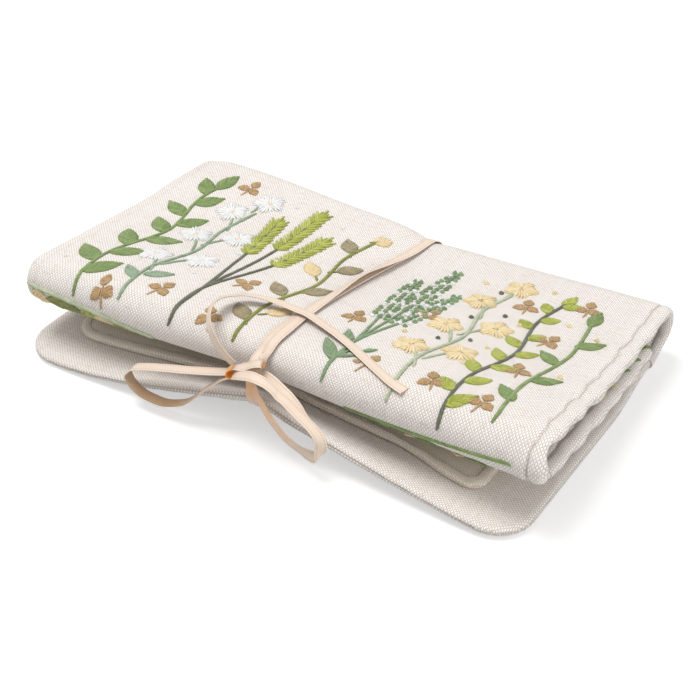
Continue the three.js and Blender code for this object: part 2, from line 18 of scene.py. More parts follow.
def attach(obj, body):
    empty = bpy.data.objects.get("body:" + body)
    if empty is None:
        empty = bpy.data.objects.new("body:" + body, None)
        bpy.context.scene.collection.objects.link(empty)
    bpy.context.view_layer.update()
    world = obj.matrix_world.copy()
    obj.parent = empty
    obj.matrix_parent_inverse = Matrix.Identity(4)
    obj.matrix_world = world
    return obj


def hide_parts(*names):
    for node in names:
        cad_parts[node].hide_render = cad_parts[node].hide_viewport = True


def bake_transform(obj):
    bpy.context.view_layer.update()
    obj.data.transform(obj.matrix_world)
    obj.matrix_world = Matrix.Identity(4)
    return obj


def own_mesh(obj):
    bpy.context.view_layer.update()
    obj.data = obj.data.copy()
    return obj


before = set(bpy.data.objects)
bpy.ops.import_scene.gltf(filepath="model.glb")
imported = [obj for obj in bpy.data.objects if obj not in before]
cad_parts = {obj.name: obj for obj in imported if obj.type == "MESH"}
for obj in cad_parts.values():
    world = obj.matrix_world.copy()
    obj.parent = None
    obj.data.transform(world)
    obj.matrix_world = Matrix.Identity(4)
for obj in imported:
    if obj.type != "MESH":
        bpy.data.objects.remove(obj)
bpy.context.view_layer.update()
scene = bpy.context.scene
scene.view_settings.view_transform = "Standard"
MM = 0.001

# %% [markdown]
# ## Camera
# A view could be framed by moving a camera until the picture looks right. Here the camera was
# solved from the corners of the book, so its place, lens and aim are simply written down. The
# aim is turned a little off the book's middle instead of shifting the lens.

# %% Camera
EYE = Vector((0.2387, -0.3761, 0.3082))
FOCUS = Vector((0.0, 0.0, 0.010))
FOCAL_PIXELS, IMAGE_PIXELS, SENSOR = 1500, 700, 36
ASIDE_PIXELS, DOWN_PIXELS = 6.3, 19.9
ahead = (FOCUS - EYE).normalized()
aside = ahead.cross(Vector((0, 0, 1))).normalized()
above = aside.cross(ahead)
aim = ahead + aside * (ASIDE_PIXELS / FOCAL_PIXELS) - above * (DOWN_PIXELS / FOCAL_PIXELS)
lens = bpy.data.cameras.new("camera")
lens.lens, lens.sensor_width = FOCAL_PIXELS / IMAGE_PIXELS * SENSOR, SENSOR
lens.clip_start, lens.clip_end = 0.01, 20
camera = bpy.data.objects.new("camera", lens)
camera.location = EYE
camera.rotation_euler = aim.to_track_quat("-Z", "Y").to_euler()
scene.collection.objects.link(camera)
scene.camera = camera
print("camera", [round(c, 3) for c in camera.location], "lens", round(lens.lens, 1))

# %% [markdown]
# ## The surfaces that the cloth follows
# Each panel is a thin pad round a middle surface. It could be sculpted, but a rule can be read
# and changed. These are the rules of the CAD source, in millimetres, written for whole arrays so
# that a fine mesh is quick to make, and with the way the soft roll has settled added to them.
# There are four: the stack (back cover and leaves, drawn up in front by the ribbon), the spine,
# the front cover with its fold, and the inner flap.

# %% Sizes
BOOK_LENGTH, BOOK_DEPTH, ROLL_LENGTH, SPINE_HEIGHT = 200.0, 125.0, 199.4, 26.0
CORNER_RADIUS, PANEL, PAGE, FELT, LEAF_GAP = 16.0, 3.8, 2.8, 1.6, 0.3
FOLD_SET_BACK, FOLD_RADIUS, FOLD_HEIGHT, COVER_SAG = 8.5, 8.5, 26.0, 2.5
INNER_END_HEIGHT, INNER_SET_BACK, PINCH, PINCH_REACH = 9.8, 9.0, 1.6, 34.0
FLAP_LIFT, LIFT_REACH, LIFT_CURVE, PULL_BACK = 13.5, 47.5, 1.6, 0.42
LIFT_TAUT, COVER_LOFT, INNER_LOFT, BINDING = 1.3, 2.6, 1.2, 4.35
RIBBON_X, RIBBON_TOP_X, RIBBON_BED, BED_REACH, PAGE_FRONT_INSET = 1.0, 1.5, 0.85, 8.0, 15.5
FRONT, SPINE_RADIUS = -BOOK_DEPTH / 2, SPINE_HEIGHT / 2
SPINE_Y = BOOK_DEPTH / 2 - SPINE_RADIUS
FOLD_Y = FRONT + FOLD_SET_BACK + FOLD_RADIUS
COVER_GAP = 0.6
COVER_START, INNER_END = SPINE_Y - COVER_GAP, SPINE_Y - INNER_SET_BACK
ROLL_END = ROLL_LENGTH / 2
# How the padded roll has settled: its tilt along the spine, the ribbon's groove, the soft ends.
LEFT_RISE, RIGHT_SINK, RIBBON_GROOVE, CORNER_DROP = 3.8, 3.8, 1.9, 2.2
END_FULLNESS, END_DROOP, FLAP_RISE = 1.3, 1.6, 3.0
print("book, mm:", BOOK_LENGTH, "by", BOOK_DEPTH, "folded height", FOLD_HEIGHT + FOLD_RADIUS)


# %% Shapes of a change along a line
def ease(t):
    """0 to 1, flat at both ends."""
    t = np.clip(t, 0, 1)
    return t * t * (3 - 2 * t)


def bell(d, reach):
    return np.exp(-((d / reach) ** 2))


def unit(v):
    return v / np.linalg.norm(v, axis=-1, keepdims=True)


def run_along(line):
    """How far along a line each of its points is."""
    return np.concatenate([[0], np.cumsum(np.linalg.norm(np.diff(line, axis=0), axis=1))])


# %% Middle surfaces
def bed(x):
    return RIBBON_BED * bell(x - RIBBON_X, BED_REACH)


def pinch(x):
    return PINCH * bell(x - RIBBON_TOP_X, PINCH_REACH)


def stack_surface(x, y):
    """Back cover, page and felt leaf: flat, and drawn up like a tent at the ribbon in front."""
    taut = x > RIBBON_X
    free_end = BOOK_LENGTH / 2 - np.where(taut, RIBBON_X, CORNER_RADIUS + RIBBON_X)
    away = np.minimum(1, np.abs(x - RIBBON_X) / free_end)
    tent = np.where(taut, (1 - away) ** LIFT_TAUT, (1 - away) ** 2 * (1 + away))
    rise = np.clip((FRONT + LIFT_REACH - y) / LIFT_REACH, 0, 1) ** LIFT_CURVE
    height = FLAP_LIFT * tent * rise
    return np.stack([x + 0 * y, y + PULL_BACK * height * rise, PANEL / 2 + height + bed(x)], -1)


def settle(x):
    """The roll isn't level along the spine: it stands higher at the left and sinks under the ribbon."""
    sunk = ease((x + 20) / 35) * (1 - 0.72 * np.clip((x - 15) / 85, 0, 1))
    return LEFT_RISE * ease((-x - 5) / 80) - RIGHT_SINK * sunk - RIBBON_GROOVE * bell(x - 4, 6)


def soft_corner(x):
    return CORNER_DROP * ease((-x - 88) / 12)


def end_slack(x, t):
    """The left end of the front cover droops a little at the fold and fills out half way to the spine."""
    slack = END_FULLNESS * bell(t - 0.47, 0.17) - END_DROOP * ease((t - 0.6) / 0.3)
    return ease((-x - 62) / 38) * slack - soft_corner(x) * (1 - ease(t / 0.25))


def spine_surface(x, a):
    """A half circle: a is the angle round it, from underneath to the top."""
    r = SPINE_RADIUS - PANEL / 2
    z = (SPINE_RADIUS + r * np.sin(a) + bed(x) * ease(-np.sin(a))
         + (settle(x) - soft_corner(x)) * (1 + np.sin(a)) / 2)
    return np.stack([x + 0 * a, SPINE_Y + r * np.cos(a) + 0 * x, z], -1)


def cover_surface(x, v):
    """v goes from 0 at the spine to 1 at the top of the fold, and round the fold to 2."""
    r = FOLD_RADIUS - pinch(x) - PANEL / 2
    t = np.clip(v, 0, 1)
    level = SPINE_HEIGHT - PANEL / 2 + settle(x) * (1 - ease(t / 0.6))
    top_y = COVER_START + (FOLD_Y - COVER_START) * v
    top_z = level + (FOLD_HEIGHT + r - level) * ease(t) - COVER_SAG * 16 * (t * (1 - t)) ** 2
    turn = np.pi * (v - 1)
    y = np.where(v <= 1, top_y + 0 * x, FOLD_Y - r * np.sin(turn))
    z = np.where(v <= 1, top_z, FOLD_HEIGHT + r * np.cos(turn)) + end_slack(x, t)
    return np.stack([x + 0 * v, y, z], -1)


def inner_surface(x, y):
    """From under the fold back to the loose end near the spine."""
    start = FOLD_HEIGHT - FOLD_RADIUS + pinch(x) + PANEL / 2 + end_slack(x, 1.0)
    end = INNER_END_HEIGHT + PANEL / 2
    along = np.clip((y - FOLD_Y) / (INNER_END - FOLD_Y), 0, 1)
    z = start + (end - start) * ease(along) + FLAP_RISE * ease((x - 55) / 40) * along ** 2
    return np.stack([x + 0 * y, y + 0 * x, z], -1)


def normal_of(panel, x, v):
    """The direction from the outer ply to the lining."""
    surface, d = panel["surface"], 1e-3
    return unit(np.cross(surface(x + d, v) - surface(x - d, v), surface(x, v + d) - surface(x, v - d)))


def offset_point(panel, x, v, offset):
    x, v = np.asarray(x, float), np.asarray(v, float)
    return panel["surface"](x, v) + normal_of(panel, x, v) * (panel.get("base", 0) + offset)


stack, spine = {"surface": stack_surface}, {"surface": spine_surface}
cover, inner = {"surface": cover_surface}, {"surface": inner_surface}
for name, panel, v in (("stack", stack, 0.0), ("spine", spine, 0.0),
                       ("fold", cover, 1.5), ("flap", inner, 0.0)):
    print(name, "at x = 0, mm:", offset_point(panel, 0.0, v, 0.0).round(1))

# %% [markdown]
# ## Ribbon
# The ribbon is a fixed length of soft flat cord, about 4 mm wide. Blender curves with a bevel
# could draw it, but a bevelled curve twists by itself at tight bends. A strip lofted along a
# route, with its width turned as listed at each stop, stays as flat as a real ribbon. The stops
# follow those of the CAD source, and the bow hangs a little looser.

# %% A smooth route through stops
def smooth_route(stops, count):
    """Centripetal Catmull-Rom through the stops, the same rule as in the CAD source."""
    p = np.array(stops, float)
    p = np.vstack([2 * p[0] - p[1], p, 2 * p[-1] - p[-2]])
    out = []
    for t in np.linspace(0, len(stops) - 1, count + 1):
        i = min(int(t), len(stops) - 2)
        w, (a, b, c, d) = t - i, p[i:i + 4]
        k = [max(np.linalg.norm(q) ** 0.5, 1e-4) for q in (b - a, c - b, d - c)]
        m1 = ((b - a) / k[0] - (c - a) / (k[0] + k[1]) + (c - b) / k[1]) * k[1]
        m2 = ((c - b) / k[1] - (d - b) / (k[1] + k[2]) + (d - c) / k[2]) * k[1]
        out.append(b + m1 * w + (3 * (c - b) - 2 * m1 - m2) * w * w + (2 * (b - c) + m1 + m2) * w ** 3)
    return np.array(out)


# %% Mesh helper
WELD, SLIVER, CREASE = 2e-6, 1e-7, math.radians(62)


def finished(name, points, faces, material, weave=None, kinds=None):
    """A plain mesh object at the origin: points in millimetres, closed seams, faces outward."""
    mesh = bpy.data.meshes.new(name)
    mesh.from_pydata((np.asarray(points) * MM).tolist(), [], [tuple(map(int, f)) for f in faces])
    if weave is not None:
        mesh.attributes.new("weave", "FLOAT_VECTOR", "POINT").data.foreach_set(
            "vector", np.asarray(weave, np.float32).ravel())
    if kinds is not None:
        mesh.polygons.foreach_set("material_index", np.asarray(kinds, np.int32))
    work = bmesh.new()
    work.from_mesh(mesh)
    bmesh.ops.remove_doubles(work, verts=work.verts, dist=WELD)
    bmesh.ops.dissolve_degenerate(work, edges=work.edges, dist=SLIVER)
    bmesh.ops.recalc_face_normals(work, faces=work.faces)
    for face in work.faces:
        face.smooth = True
    for edge in work.edges:
        if len(edge.link_faces) == 2 and edge.calc_face_angle(0) > CREASE:
            edge.smooth = False
    work.to_mesh(mesh)
    work.free()
    piece = bpy.data.objects.new(name, mesh)
    for m in material if isinstance(material, (list, tuple)) else [material]:
        mesh.materials.append(m)
    scene.collection.objects.link(piece)
    return piece


# %% [markdown]
# ## Shared finishes
# Three effects come back in several materials, so each is a shader node group: the plain weave
# of linen with its uneven threads, the slow change of tone over washed cloth, and the twist of
# embroidery thread. They read the "weave" attribute that each cloth mesh carries (millimetres
# along and across the cloth, and a third number, which on linen is the painted shade along a
# seam), so that the threads follow the cloth round the folds.

# %% Small node helpers
def new_group(name, inputs, outputs):
    group = bpy.data.node_groups.new(name, "ShaderNodeTree")
    for label, kind, value in inputs:
        socket = group.interface.new_socket(label, in_out="INPUT", socket_type=kind)
        socket.default_value = value
    for label, kind in outputs:
        group.interface.new_socket(label, in_out="OUTPUT", socket_type=kind)
    return group, group.nodes.new("NodeGroupInput"), group.nodes.new("NodeGroupOutput")


class Wires:
    """Writes node sums as short calls."""

    def __init__(self, tree):
        self.tree = tree

    def put(self, socket, value):
        if isinstance(value, bpy.types.NodeSocket):
            self.tree.links.new(value, socket)
        elif value is not None:
            socket.default_value = value

    def math(self, kind, a, b=None, c=None, clamp=False):
        node = self.tree.nodes.new("ShaderNodeMath")
        node.operation, node.use_clamp = kind, clamp
        for i, v in enumerate((a, b, c)):
            self.put(node.inputs[i], v)
        return node.outputs[0]

    def mix(self, factor, a, b, blend="MIX"):
        node = self.tree.nodes.new("ShaderNodeMix")
        node.data_type, node.blend_type = "RGBA", blend
        self.put(node.inputs[0], factor)
        for i, v in ((6, a), (7, b)):
            self.put(node.inputs[i], v if isinstance(v, bpy.types.NodeSocket) else (*v, 1))
        return node.outputs[2]

    def noise(self, vector, scale, detail=2.0, rough=0.5):
        node = self.tree.nodes.new("ShaderNodeTexNoise")
        self.put(node.inputs["Vector"], vector)
        node.inputs["Scale"].default_value = scale
        node.inputs["Detail"].default_value = detail
        node.inputs["Roughness"].default_value = rough
        return node.outputs[0]

    def vector(self, x, y, z=0.0):
        node = self.tree.nodes.new("ShaderNodeCombineXYZ")
        for i, v in enumerate((x, y, z)):
            self.put(node.inputs[i], v)
        return node.outputs[0]

    def split(self, vector):
        node = self.tree.nodes.new("ShaderNodeSeparateXYZ")
        self.put(node.inputs[0], vector)
        return node.outputs

    def span(self, value, low, high, to_low=0.0, to_high=1.0):
        node = self.tree.nodes.new("ShaderNodeMapRange")
        for i, v in enumerate((value, low, high, to_low, to_high)):
            self.put(node.inputs[i], v)
        return node.outputs[0]

    def random(self, vector):
        node = self.tree.nodes.new("ShaderNodeTexWhiteNoise")
        self.put(node.inputs["Vector"], vector)
        return node.outputs[0]


# %% Plain weave with uneven threads
def linen_weave_group():
    group, gin, gout = new_group("linen weave", [
        ("Cloth", "NodeSocketVector", (0, 0, 0)), ("Pitch", "NodeSocketFloat", 0.8),
        ("Slub", "NodeSocketFloat", 0.35)],
        [("Height", "NodeSocketFloat"), ("Weft", "NodeSocketFloat"), ("Tone", "NodeSocketFloat")])
    w = Wires(group)
    u, v, _ = w.split(gin.outputs["Cloth"])
    drift = w.noise(gin.outputs["Cloth"], 0.09, 2.0)
    wander = w.math("MULTIPLY_ADD", drift, 0.9, -0.45)
    u = w.math("DIVIDE", w.math("ADD", u, wander), gin.outputs["Pitch"])
    v = w.math("DIVIDE", w.math("ADD", v, wander), gin.outputs["Pitch"])
    su = w.math("SINE", w.math("MULTIPLY", u, math.pi))
    sv = w.math("SINE", w.math("MULTIPLY", v, math.pi))
    warp_up = w.math("MULTIPLY", w.math("SIGN", su), sv)
    weft_up = w.math("MULTIPLY", w.math("MULTIPLY", w.math("SIGN", sv), su), -1.0)
    slub_u = w.noise(w.vector(w.math("FLOOR", u), w.math("MULTIPLY", v, 0.06)), 1.7, 1.0)
    slub_v = w.noise(w.vector(w.math("MULTIPLY", u, 0.06), w.math("FLOOR", v), 7.0), 1.7, 1.0)
    fat_u = w.math("MULTIPLY_ADD", slub_u, gin.outputs["Slub"], 0.6)
    fat_v = w.math("MULTIPLY_ADD", slub_v, gin.outputs["Slub"], 0.6)
    warp = w.math("ADD", w.math("MULTIPLY", w.math("POWER", w.math("ABSOLUTE", su), 0.6), fat_u),
                  w.math("MULTIPLY", warp_up, 0.32))
    weft = w.math("ADD", w.math("MULTIPLY", w.math("POWER", w.math("ABSOLUTE", sv), 0.6), fat_v),
                  w.math("MULTIPLY", weft_up, 0.32))
    group.links.new(w.math("MAXIMUM", warp, weft), gout.inputs["Height"])
    group.links.new(w.span(w.math("SUBTRACT", weft, warp), -0.06, 0.06), gout.inputs["Weft"])
    tone_u = w.random(w.vector(w.math("FLOOR", u), 3.0))
    tone_v = w.random(w.vector(9.0, w.math("FLOOR", v)))
    speck = w.random(w.vector(w.math("FLOOR", u), w.math("FLOOR", v), 5.0))
    tone = w.math("MULTIPLY", w.math("ADD", tone_u, tone_v), 0.2)
    thick = w.span(w.math("MAXIMUM", slub_u, slub_v), 0.62, 0.8, 0.0, 0.5)
    tone = w.math("ADD", tone, w.math("MULTIPLY", speck, 0.4))
    group.links.new(w.math("ADD", tone, thick), gout.inputs["Tone"])
    return group


linen_weave = linen_weave_group()
print("linen weave nodes", len(linen_weave.nodes))


# %% Slow change of tone over washed cloth
def washed_group():
    group, gin, gout = new_group("washed cloth", [("Cloth", "NodeSocketVector", (0, 0, 0))],
                                 [("Tone", "NodeSocketFloat"), ("Height", "NodeSocketFloat")])
    w = Wires(group)
    broad = w.noise(gin.outputs["Cloth"], 0.03, 3.0, 0.55)
    creases = w.noise(gin.outputs["Cloth"], 0.16, 3.0, 0.6)
    group.links.new(w.math("MULTIPLY_ADD", broad, 0.7, w.math("MULTIPLY", creases, 0.3)), gout.inputs["Tone"])
    group.links.new(creases, gout.inputs["Height"])
    return group


washed = washed_group()
print("washed cloth nodes", len(washed.nodes))


# %% Twisted embroidery thread
def thread_group():
    group, gin, gout = new_group("twisted thread", [
        ("Along", "NodeSocketFloat", 0.0), ("Around", "NodeSocketFloat", 0.0),
        ("Plies", "NodeSocketFloat", 4.0), ("Twist", "NodeSocketFloat", 3.0)],
        [("Height", "NodeSocketFloat")])
    w = Wires(group)
    turn = w.math("MULTIPLY_ADD", gin.outputs["Around"], gin.outputs["Plies"],
                  w.math("MULTIPLY", gin.outputs["Along"], gin.outputs["Twist"]))
    ply = w.math("SINE", w.math("MULTIPLY", turn, 2 * math.pi))
    group.links.new(w.math("MULTIPLY_ADD", ply, 0.5, 0.5), gout.inputs["Height"])
    return group


twisted_thread = thread_group()
print("twisted thread nodes", len(twisted_thread.nodes))


# %% [markdown]
# ## Linen
# Natural linen is pale and matte, with a greyer thread one way and the odd thick or dark
# thread. One flat colour would look like paper. Each linen finish below takes the weave group
# with its own thread colours, and only the page's are warmer than the rest; they are also paler,
# which is painted light for the shade that the roll casts on the page.

# %% Helpers for materials
def attribute(tree, name):
    node = tree.nodes.new("ShaderNodeAttribute")
    node.attribute_name = name
    return node


def new_finish(name, roughness, specular, sheen=0.0, sheen_roughness=0.5):
    """A material with its plain values set, its node tree and its shader."""
    finish = bpy.data.materials.new(name)
    finish.use_nodes = True
    shader = finish.node_tree.nodes["Principled BSDF"]
    for label, value in (("Roughness", roughness), ("Specular IOR Level", specular),
                         ("Sheen Weight", sheen), ("Sheen Roughness", sheen_roughness)):
        shader.inputs[label].default_value = value
    return finish, finish.node_tree, shader


def dress(tree, shader, colour, height, strength, distance):
    """Feeds the shader a colour and a relief; distance is the relief's depth in metres."""
    tree.links.new(colour, shader.inputs["Base Color"])
    relief = tree.nodes.new("ShaderNodeBump")
    relief.inputs["Strength"].default_value = strength
    relief.inputs["Distance"].default_value = distance
    tree.links.new(height, relief.inputs["Height"])
    tree.links.new(relief.outputs["Normal"], shader.inputs["Normal"])


def placed_group(tree, group, **inputs):
    """A node group in a material, its inputs linked or set by name."""
    node = tree.nodes.new("ShaderNodeGroup")
    node.node_tree = group
    for label, value in inputs.items():
        Wires(tree).put(node.inputs[label], value)
    return node


# %% Linen finishes
THREAD_PITCH, SLUB = 0.62, 0.4
PLAIN_LINEN = (0.955, 0.93, 0.91), (0.715, 0.64, 0.57), (0.50, 0.42, 0.34)
# The page's threads: warmer than the plain linen, and paler as painted light for the shade under the roll.
PAGE_LINEN = (0.97, 0.92, 0.85), (0.84, 0.73, 0.60), (0.66, 0.54, 0.42)


def linen(name, warp, weft, dark):
    finish, tree, shader = new_finish(name, 0.9, 0.2, 0.12, 0.6)
    w = Wires(tree)
    along, across, seam = w.split(attribute(tree, "weave").outputs["Vector"])
    cloth = w.vector(along, across)
    weave = placed_group(tree, linen_weave, Cloth=cloth, Pitch=THREAD_PITCH, Slub=SLUB)
    wash = placed_group(tree, washed, Cloth=cloth)
    threads = w.mix(weave.outputs["Weft"], warp, weft)
    uneven = w.mix(w.span(weave.outputs["Tone"], 0.4, 1.3, 0.0, 0.6), threads, dark)
    holes = w.mix(w.span(weave.outputs["Height"], 0.32, 0.7, 0.85, 0.0), uneven,
                  tuple(0.55 * c for c in dark))
    toned = w.mix(w.span(wash.outputs["Tone"], 0.3, 0.8, 0.0, 0.08), holes, dark, "MULTIPLY")
    # Painted shade: the weave attribute's third number darkens the cloth towards a deep tone of its dark
    # thread, along ditches, rims and stitching grooves.
    shaded = w.mix(w.math("MULTIPLY", seam, 0.75, clamp=True), toned, tuple(0.45 * c for c in dark))
    height = w.math("MULTIPLY_ADD", wash.outputs["Height"], 0.8, weave.outputs["Height"])
    dress(tree, shader, shaded, height, 0.5, 0.00035)
    return finish


linen_outer = linen("linen_outer", *PLAIN_LINEN)
linen_lining = linen("linen_lining", *PLAIN_LINEN)
linen_page = linen("linen_page", *PAGE_LINEN)
linen_binding = linen("linen_binding", *PLAIN_LINEN)
print("linen finishes", [m.name for m in (linen_outer, linen_lining, linen_page, linen_binding)])

# %% [markdown]
# ## Ribbon finish
# Narrow woven ribbon has fine cross ribs, a paler edge on each side with a row of small darker
# loops beside it, and a soft sheen. Shade in its folds and on its reverse is painted into its
# colour as brown, and as orange deep in the turn of the knot, where light glows through; a warm
# colour is painted light thrown back by the cloth close to it. All of that runs on the strip's
# own attribute: millimetres across, millimetres along, and the painted shading. 0 is plain,
# towards -1 is the painted warm light, towards 0.6 the painted brown shade and towards 1 the
# painted orange shade.

# %% Ribbon finish
PEACH, PEACH_FIBRE, PEACH_RIB = (0.80, 0.68, 0.57), (0.755, 0.61, 0.485), (0.62, 0.42, 0.28)
PALE_EDGE, EDGE_LOOPS = (0.87, 0.77, 0.67), (0.58, 0.33, 0.18)
# Painted light and shade: warm light thrown back by nearby cloth, brown shade, and orange shade deep in the
# knot.
PAINTED_WARM_LIGHT, PAINTED_SHADE_BROWN, PAINTED_SHADE_ORANGE = (0.95, 0.57, 0.32), (0.36, 0.225, 0.125), (0.98, 0.42, 0.05)
RIB_PITCH, LINE_PITCH, LOOP_PITCH, LOOP_ROW = 0.45, 0.5, 0.9, 1.3


def ribbon_finish():
    finish, tree, shader = new_finish("peach_ribbon", 0.5, 0.4, 0.3, 0.4)
    w = Wires(tree)
    across, along, painted_shading = w.split(attribute(tree, "weave").outputs["Vector"])
    side = w.math("ABSOLUTE", across)
    ribs = w.math("SINE", w.math("MULTIPLY", along, 2 * math.pi / RIB_PITCH))
    lines = w.math("SINE", w.math("MULTIPLY", across, 2 * math.pi / LINE_PITCH))
    fibre = w.noise(w.vector(w.math("MULTIPLY", across, 3.0), w.math("MULTIPLY", along, 0.25)), 1.0, 3.0)
    tone = w.mix(w.span(fibre, 0.3, 0.75), PEACH, PEACH_FIBRE)
    tone = w.mix(w.math("MULTIPLY_ADD", ribs, 0.07, 0.07), tone, PEACH_RIB)
    tone = w.mix(w.span(side, 1.6, 1.95, 0.0, 0.4), tone, PALE_EDGE)
    row = w.span(w.math("ABSOLUTE", w.math("SUBTRACT", side, LOOP_ROW)), 0.1, 0.3, 1.0, 0.0)
    loops = w.span(w.math("SINE", w.math("MULTIPLY", along, 2 * math.pi / LOOP_PITCH)), 0.0, 0.7)
    tone = w.mix(w.math("MULTIPLY", row, w.math("MULTIPLY_ADD", loops, 0.4, 0.22)), tone, EDGE_LOOPS)
    # Painted light and shade from the strip's third number: warm light below 0, brown shade up to 0.6, orange
    # shade up to 1.
    tone = w.mix(w.span(painted_shading, -1.0, 0.0, 1.0, 0.0), tone, PAINTED_WARM_LIGHT)
    tone = w.mix(w.span(painted_shading, 0.0, 0.6), tone, PAINTED_SHADE_BROWN)
    tone = w.mix(w.span(painted_shading, 0.6, 1.0), tone, PAINTED_SHADE_ORANGE)
    height = w.math("ADD", w.math("MULTIPLY", ribs, 0.3), w.math("MULTIPLY", lines, 0.45))
    dress(tree, shader, tone, height, 0.35, 0.00012)
    return finish


peach_ribbon = ribbon_finish()
print("ribbon nodes", len(peach_ribbon.node_tree.nodes))


# %% Ribbon strips
RIBBON_SECTION = [(-1.0, 0.05), (-0.9, 0.2), (-0.62, 0.2), (-0.28, 0.19), (0.0, 0.16), (0.28, 0.19),
                  (0.62, 0.2), (0.9, 0.2), (1.0, 0.05)]
RIBBON_SECTION += [(a, -b) for a, b in reversed(RIBBON_SECTION)]
RIBBON_WIDTH = 4.0


def ring_faces(count, n):
    """Quads from each ring of n points to the next."""
    return [(r * n + k, r * n + (k + 1) % n, (r + 1) * n + (k + 1) % n, (r + 1) * n + k)
            for r in range(count - 1) for k in range(n)]


def ribbon_strip(name, stops, sides, count, width=RIBBON_WIDTH, painted_shading_by_stop=(0.0, 0.5)):
    """A flat strip along a route, its middle line in metres and its length. width is one number
    or a list from end to end; the last argument is the painted shade and light on its face and its
    reverse, once or at each stop."""
    line = smooth_route(stops, count)
    turns = smooth_route(sides, count)
    ahead = unit(np.gradient(line, axis=0))
    across = unit(turns - (turns * ahead).sum(1, keepdims=True) * ahead)
    face = np.cross(ahead, across)
    run = run_along(line)
    n = len(RIBBON_SECTION)
    a = np.array([s[0] for s in RIBBON_SECTION]) * (RIBBON_WIDTH / 2)
    b = np.array([s[1] for s in RIBBON_SECTION])
    along = np.linspace(0, 1, len(line))
    wide = np.interp(along, np.linspace(0, 1, np.size(width)), np.atleast_1d(width))[:, None]
    wide = wide * a / RIBBON_WIDTH
    points = line[:, None] + across[:, None] * wide[..., None] + face[:, None] * b[:, None]
    # Painted shade and light of each stop, on the face and on the reverse.
    painted_shading_by_stop = np.atleast_2d(np.array(painted_shading_by_stop, float))
    painted_shading = [np.interp(along, np.linspace(0, 1, len(painted_shading_by_stop)), painted_shading_by_stop[:, k])[:, None] for k in (0, 1)]
    weave = np.stack([a + 0 * run[:, None], run[:, None] + 0 * a, np.where(b > 0, *painted_shading)], -1)
    faces = ring_faces(len(line), n)
    for base in (0, (len(line) - 1) * n):
        for k in range(n // 2 - 1):
            faces.append((base + k, base + k + 1, base + n - 2 - k, base + n - 1 - k))
    piece = finished(name, points.reshape(-1, 3), faces, peach_ribbon, weave.reshape(-1, 3))
    return piece, line * MM, float(run[-1]) * MM


# %% Ribbon routes
RIBBON_THICK, RIBBON_AIR = 0.4, 0.2
CLEAR_OF = PANEL / 2 + RIBBON_THICK + RIBBON_AIR
KNOT_AHEAD, KNOT_ABOVE = 3, 0.6
KNOT_AT = np.array([0.0, FRONT + FOLD_SET_BACK - KNOT_AHEAD - RIBBON_THICK + PINCH / 2,
                    FOLD_HEIGHT + KNOT_ABOVE])
ALONG = (1.0, 0.0, 0.0)
COVER_STOPS = [1.24, 1.08, 0.94, 0.78, 0.6, 0.42, 0.24, 0.08]
CLEAR_OF_EDGE = 1.5


def from_knot(x, y, z):
    return KNOT_AT + np.array([x, y, z], float)


def knot_route(*stops):
    return [from_knot(*p) for p in stops]


# Where the two strands pass over the cover: share of the way from the spine, then x.
WRAP_AT = np.array([(0, 3.2), (0.1, 2.4), (0.25, 1.3), (0.37, 0.9), (0.57, 0.5), (0.77, 0.5),
                    (0.95, 0.7), (1.08, 1.1), (1.25, 0.8)])
SECOND_AT = np.array([(0, 3.8), (0.1, 2.9), (0.25, 1.7), (0.37, 1.2), (0.57, 0.8), (0.77, 1.5),
                      (0.945, 3.0), (1.06, 3.4), (1.277, 3.2)])


def strand_x(strand, v):
    return float(np.interp(v, *strand.T))


flap_edge = stack_surface(np.float64(RIBBON_X), np.float64(FRONT))
under = list(np.linspace(SPINE_Y - SPINE_RADIUS, FRONT + LIFT_REACH, 4))
under += list(np.linspace(FRONT + LIFT_REACH, FRONT + 2.5, 8))[1:]
wrap_stops = knot_route((1.0, -0.2, 1.6), (0.9, 0.6, 3.2))
wrap_stops += [offset_point(cover, strand_x(WRAP_AT, v), v, -CLEAR_OF) for v in COVER_STOPS]
for a in np.linspace(np.pi / 2, -np.pi / 2, 9):
    x = strand_x(WRAP_AT, 0)
    x = x + (RIBBON_X - x) * ease(0.5 - a / np.pi)
    wrap_stops.append(offset_point(spine, x, a, -CLEAR_OF + 0.15))
wrap_stops += [offset_point(stack, RIBBON_X, y, -CLEAR_OF) for y in under]
wrap_stops += [flap_edge + np.array(d) * CLEAR_OF_EDGE for d in ((0, -0.7, -0.7), (0, -1, 0), (0, -0.9, 1))]
wrap_stops += knot_route((0, 0, -3.95), (0.2, -0.3, -1.6))
for stop in wrap_stops:
    stop[2] = max(stop[2], RIBBON_THICK)

# %% Second strand, which rolls over on the way: its side and its height where it does
ROLLED = {0.6: ((0.95, 0, 0.3), 0.9), 0.42: ((0.75, 0, 0.66), 1.5), 0.24: ((0.95, 0, 0.3), 0.9)}
second_lay = [ROLLED.get(v, (ALONG, 0.45)) for v in COVER_STOPS]
second_stops = knot_route((4.5, -0.4, 2.6), (4.2, 0.8, 2.8), (3.6, 2.2, 3.65), (2.9, 4.0, 4.2))
second_sides = [ALONG] * 4 + [side for side, _ in second_lay] + [ALONG] * 6
second_stops += [offset_point(cover, strand_x(SECOND_AT, v), v, -CLEAR_OF - height)
                 for v, (_, height) in zip(COVER_STOPS, second_lay)]
second_stops += [offset_point(spine, strand_x(SECOND_AT, 0), a, -CLEAR_OF - 0.2)
                 for a in np.linspace(np.pi / 2, -np.pi / 6, 6)]
print("wrap stops", len(wrap_stops), "second strand stops", len(second_stops))

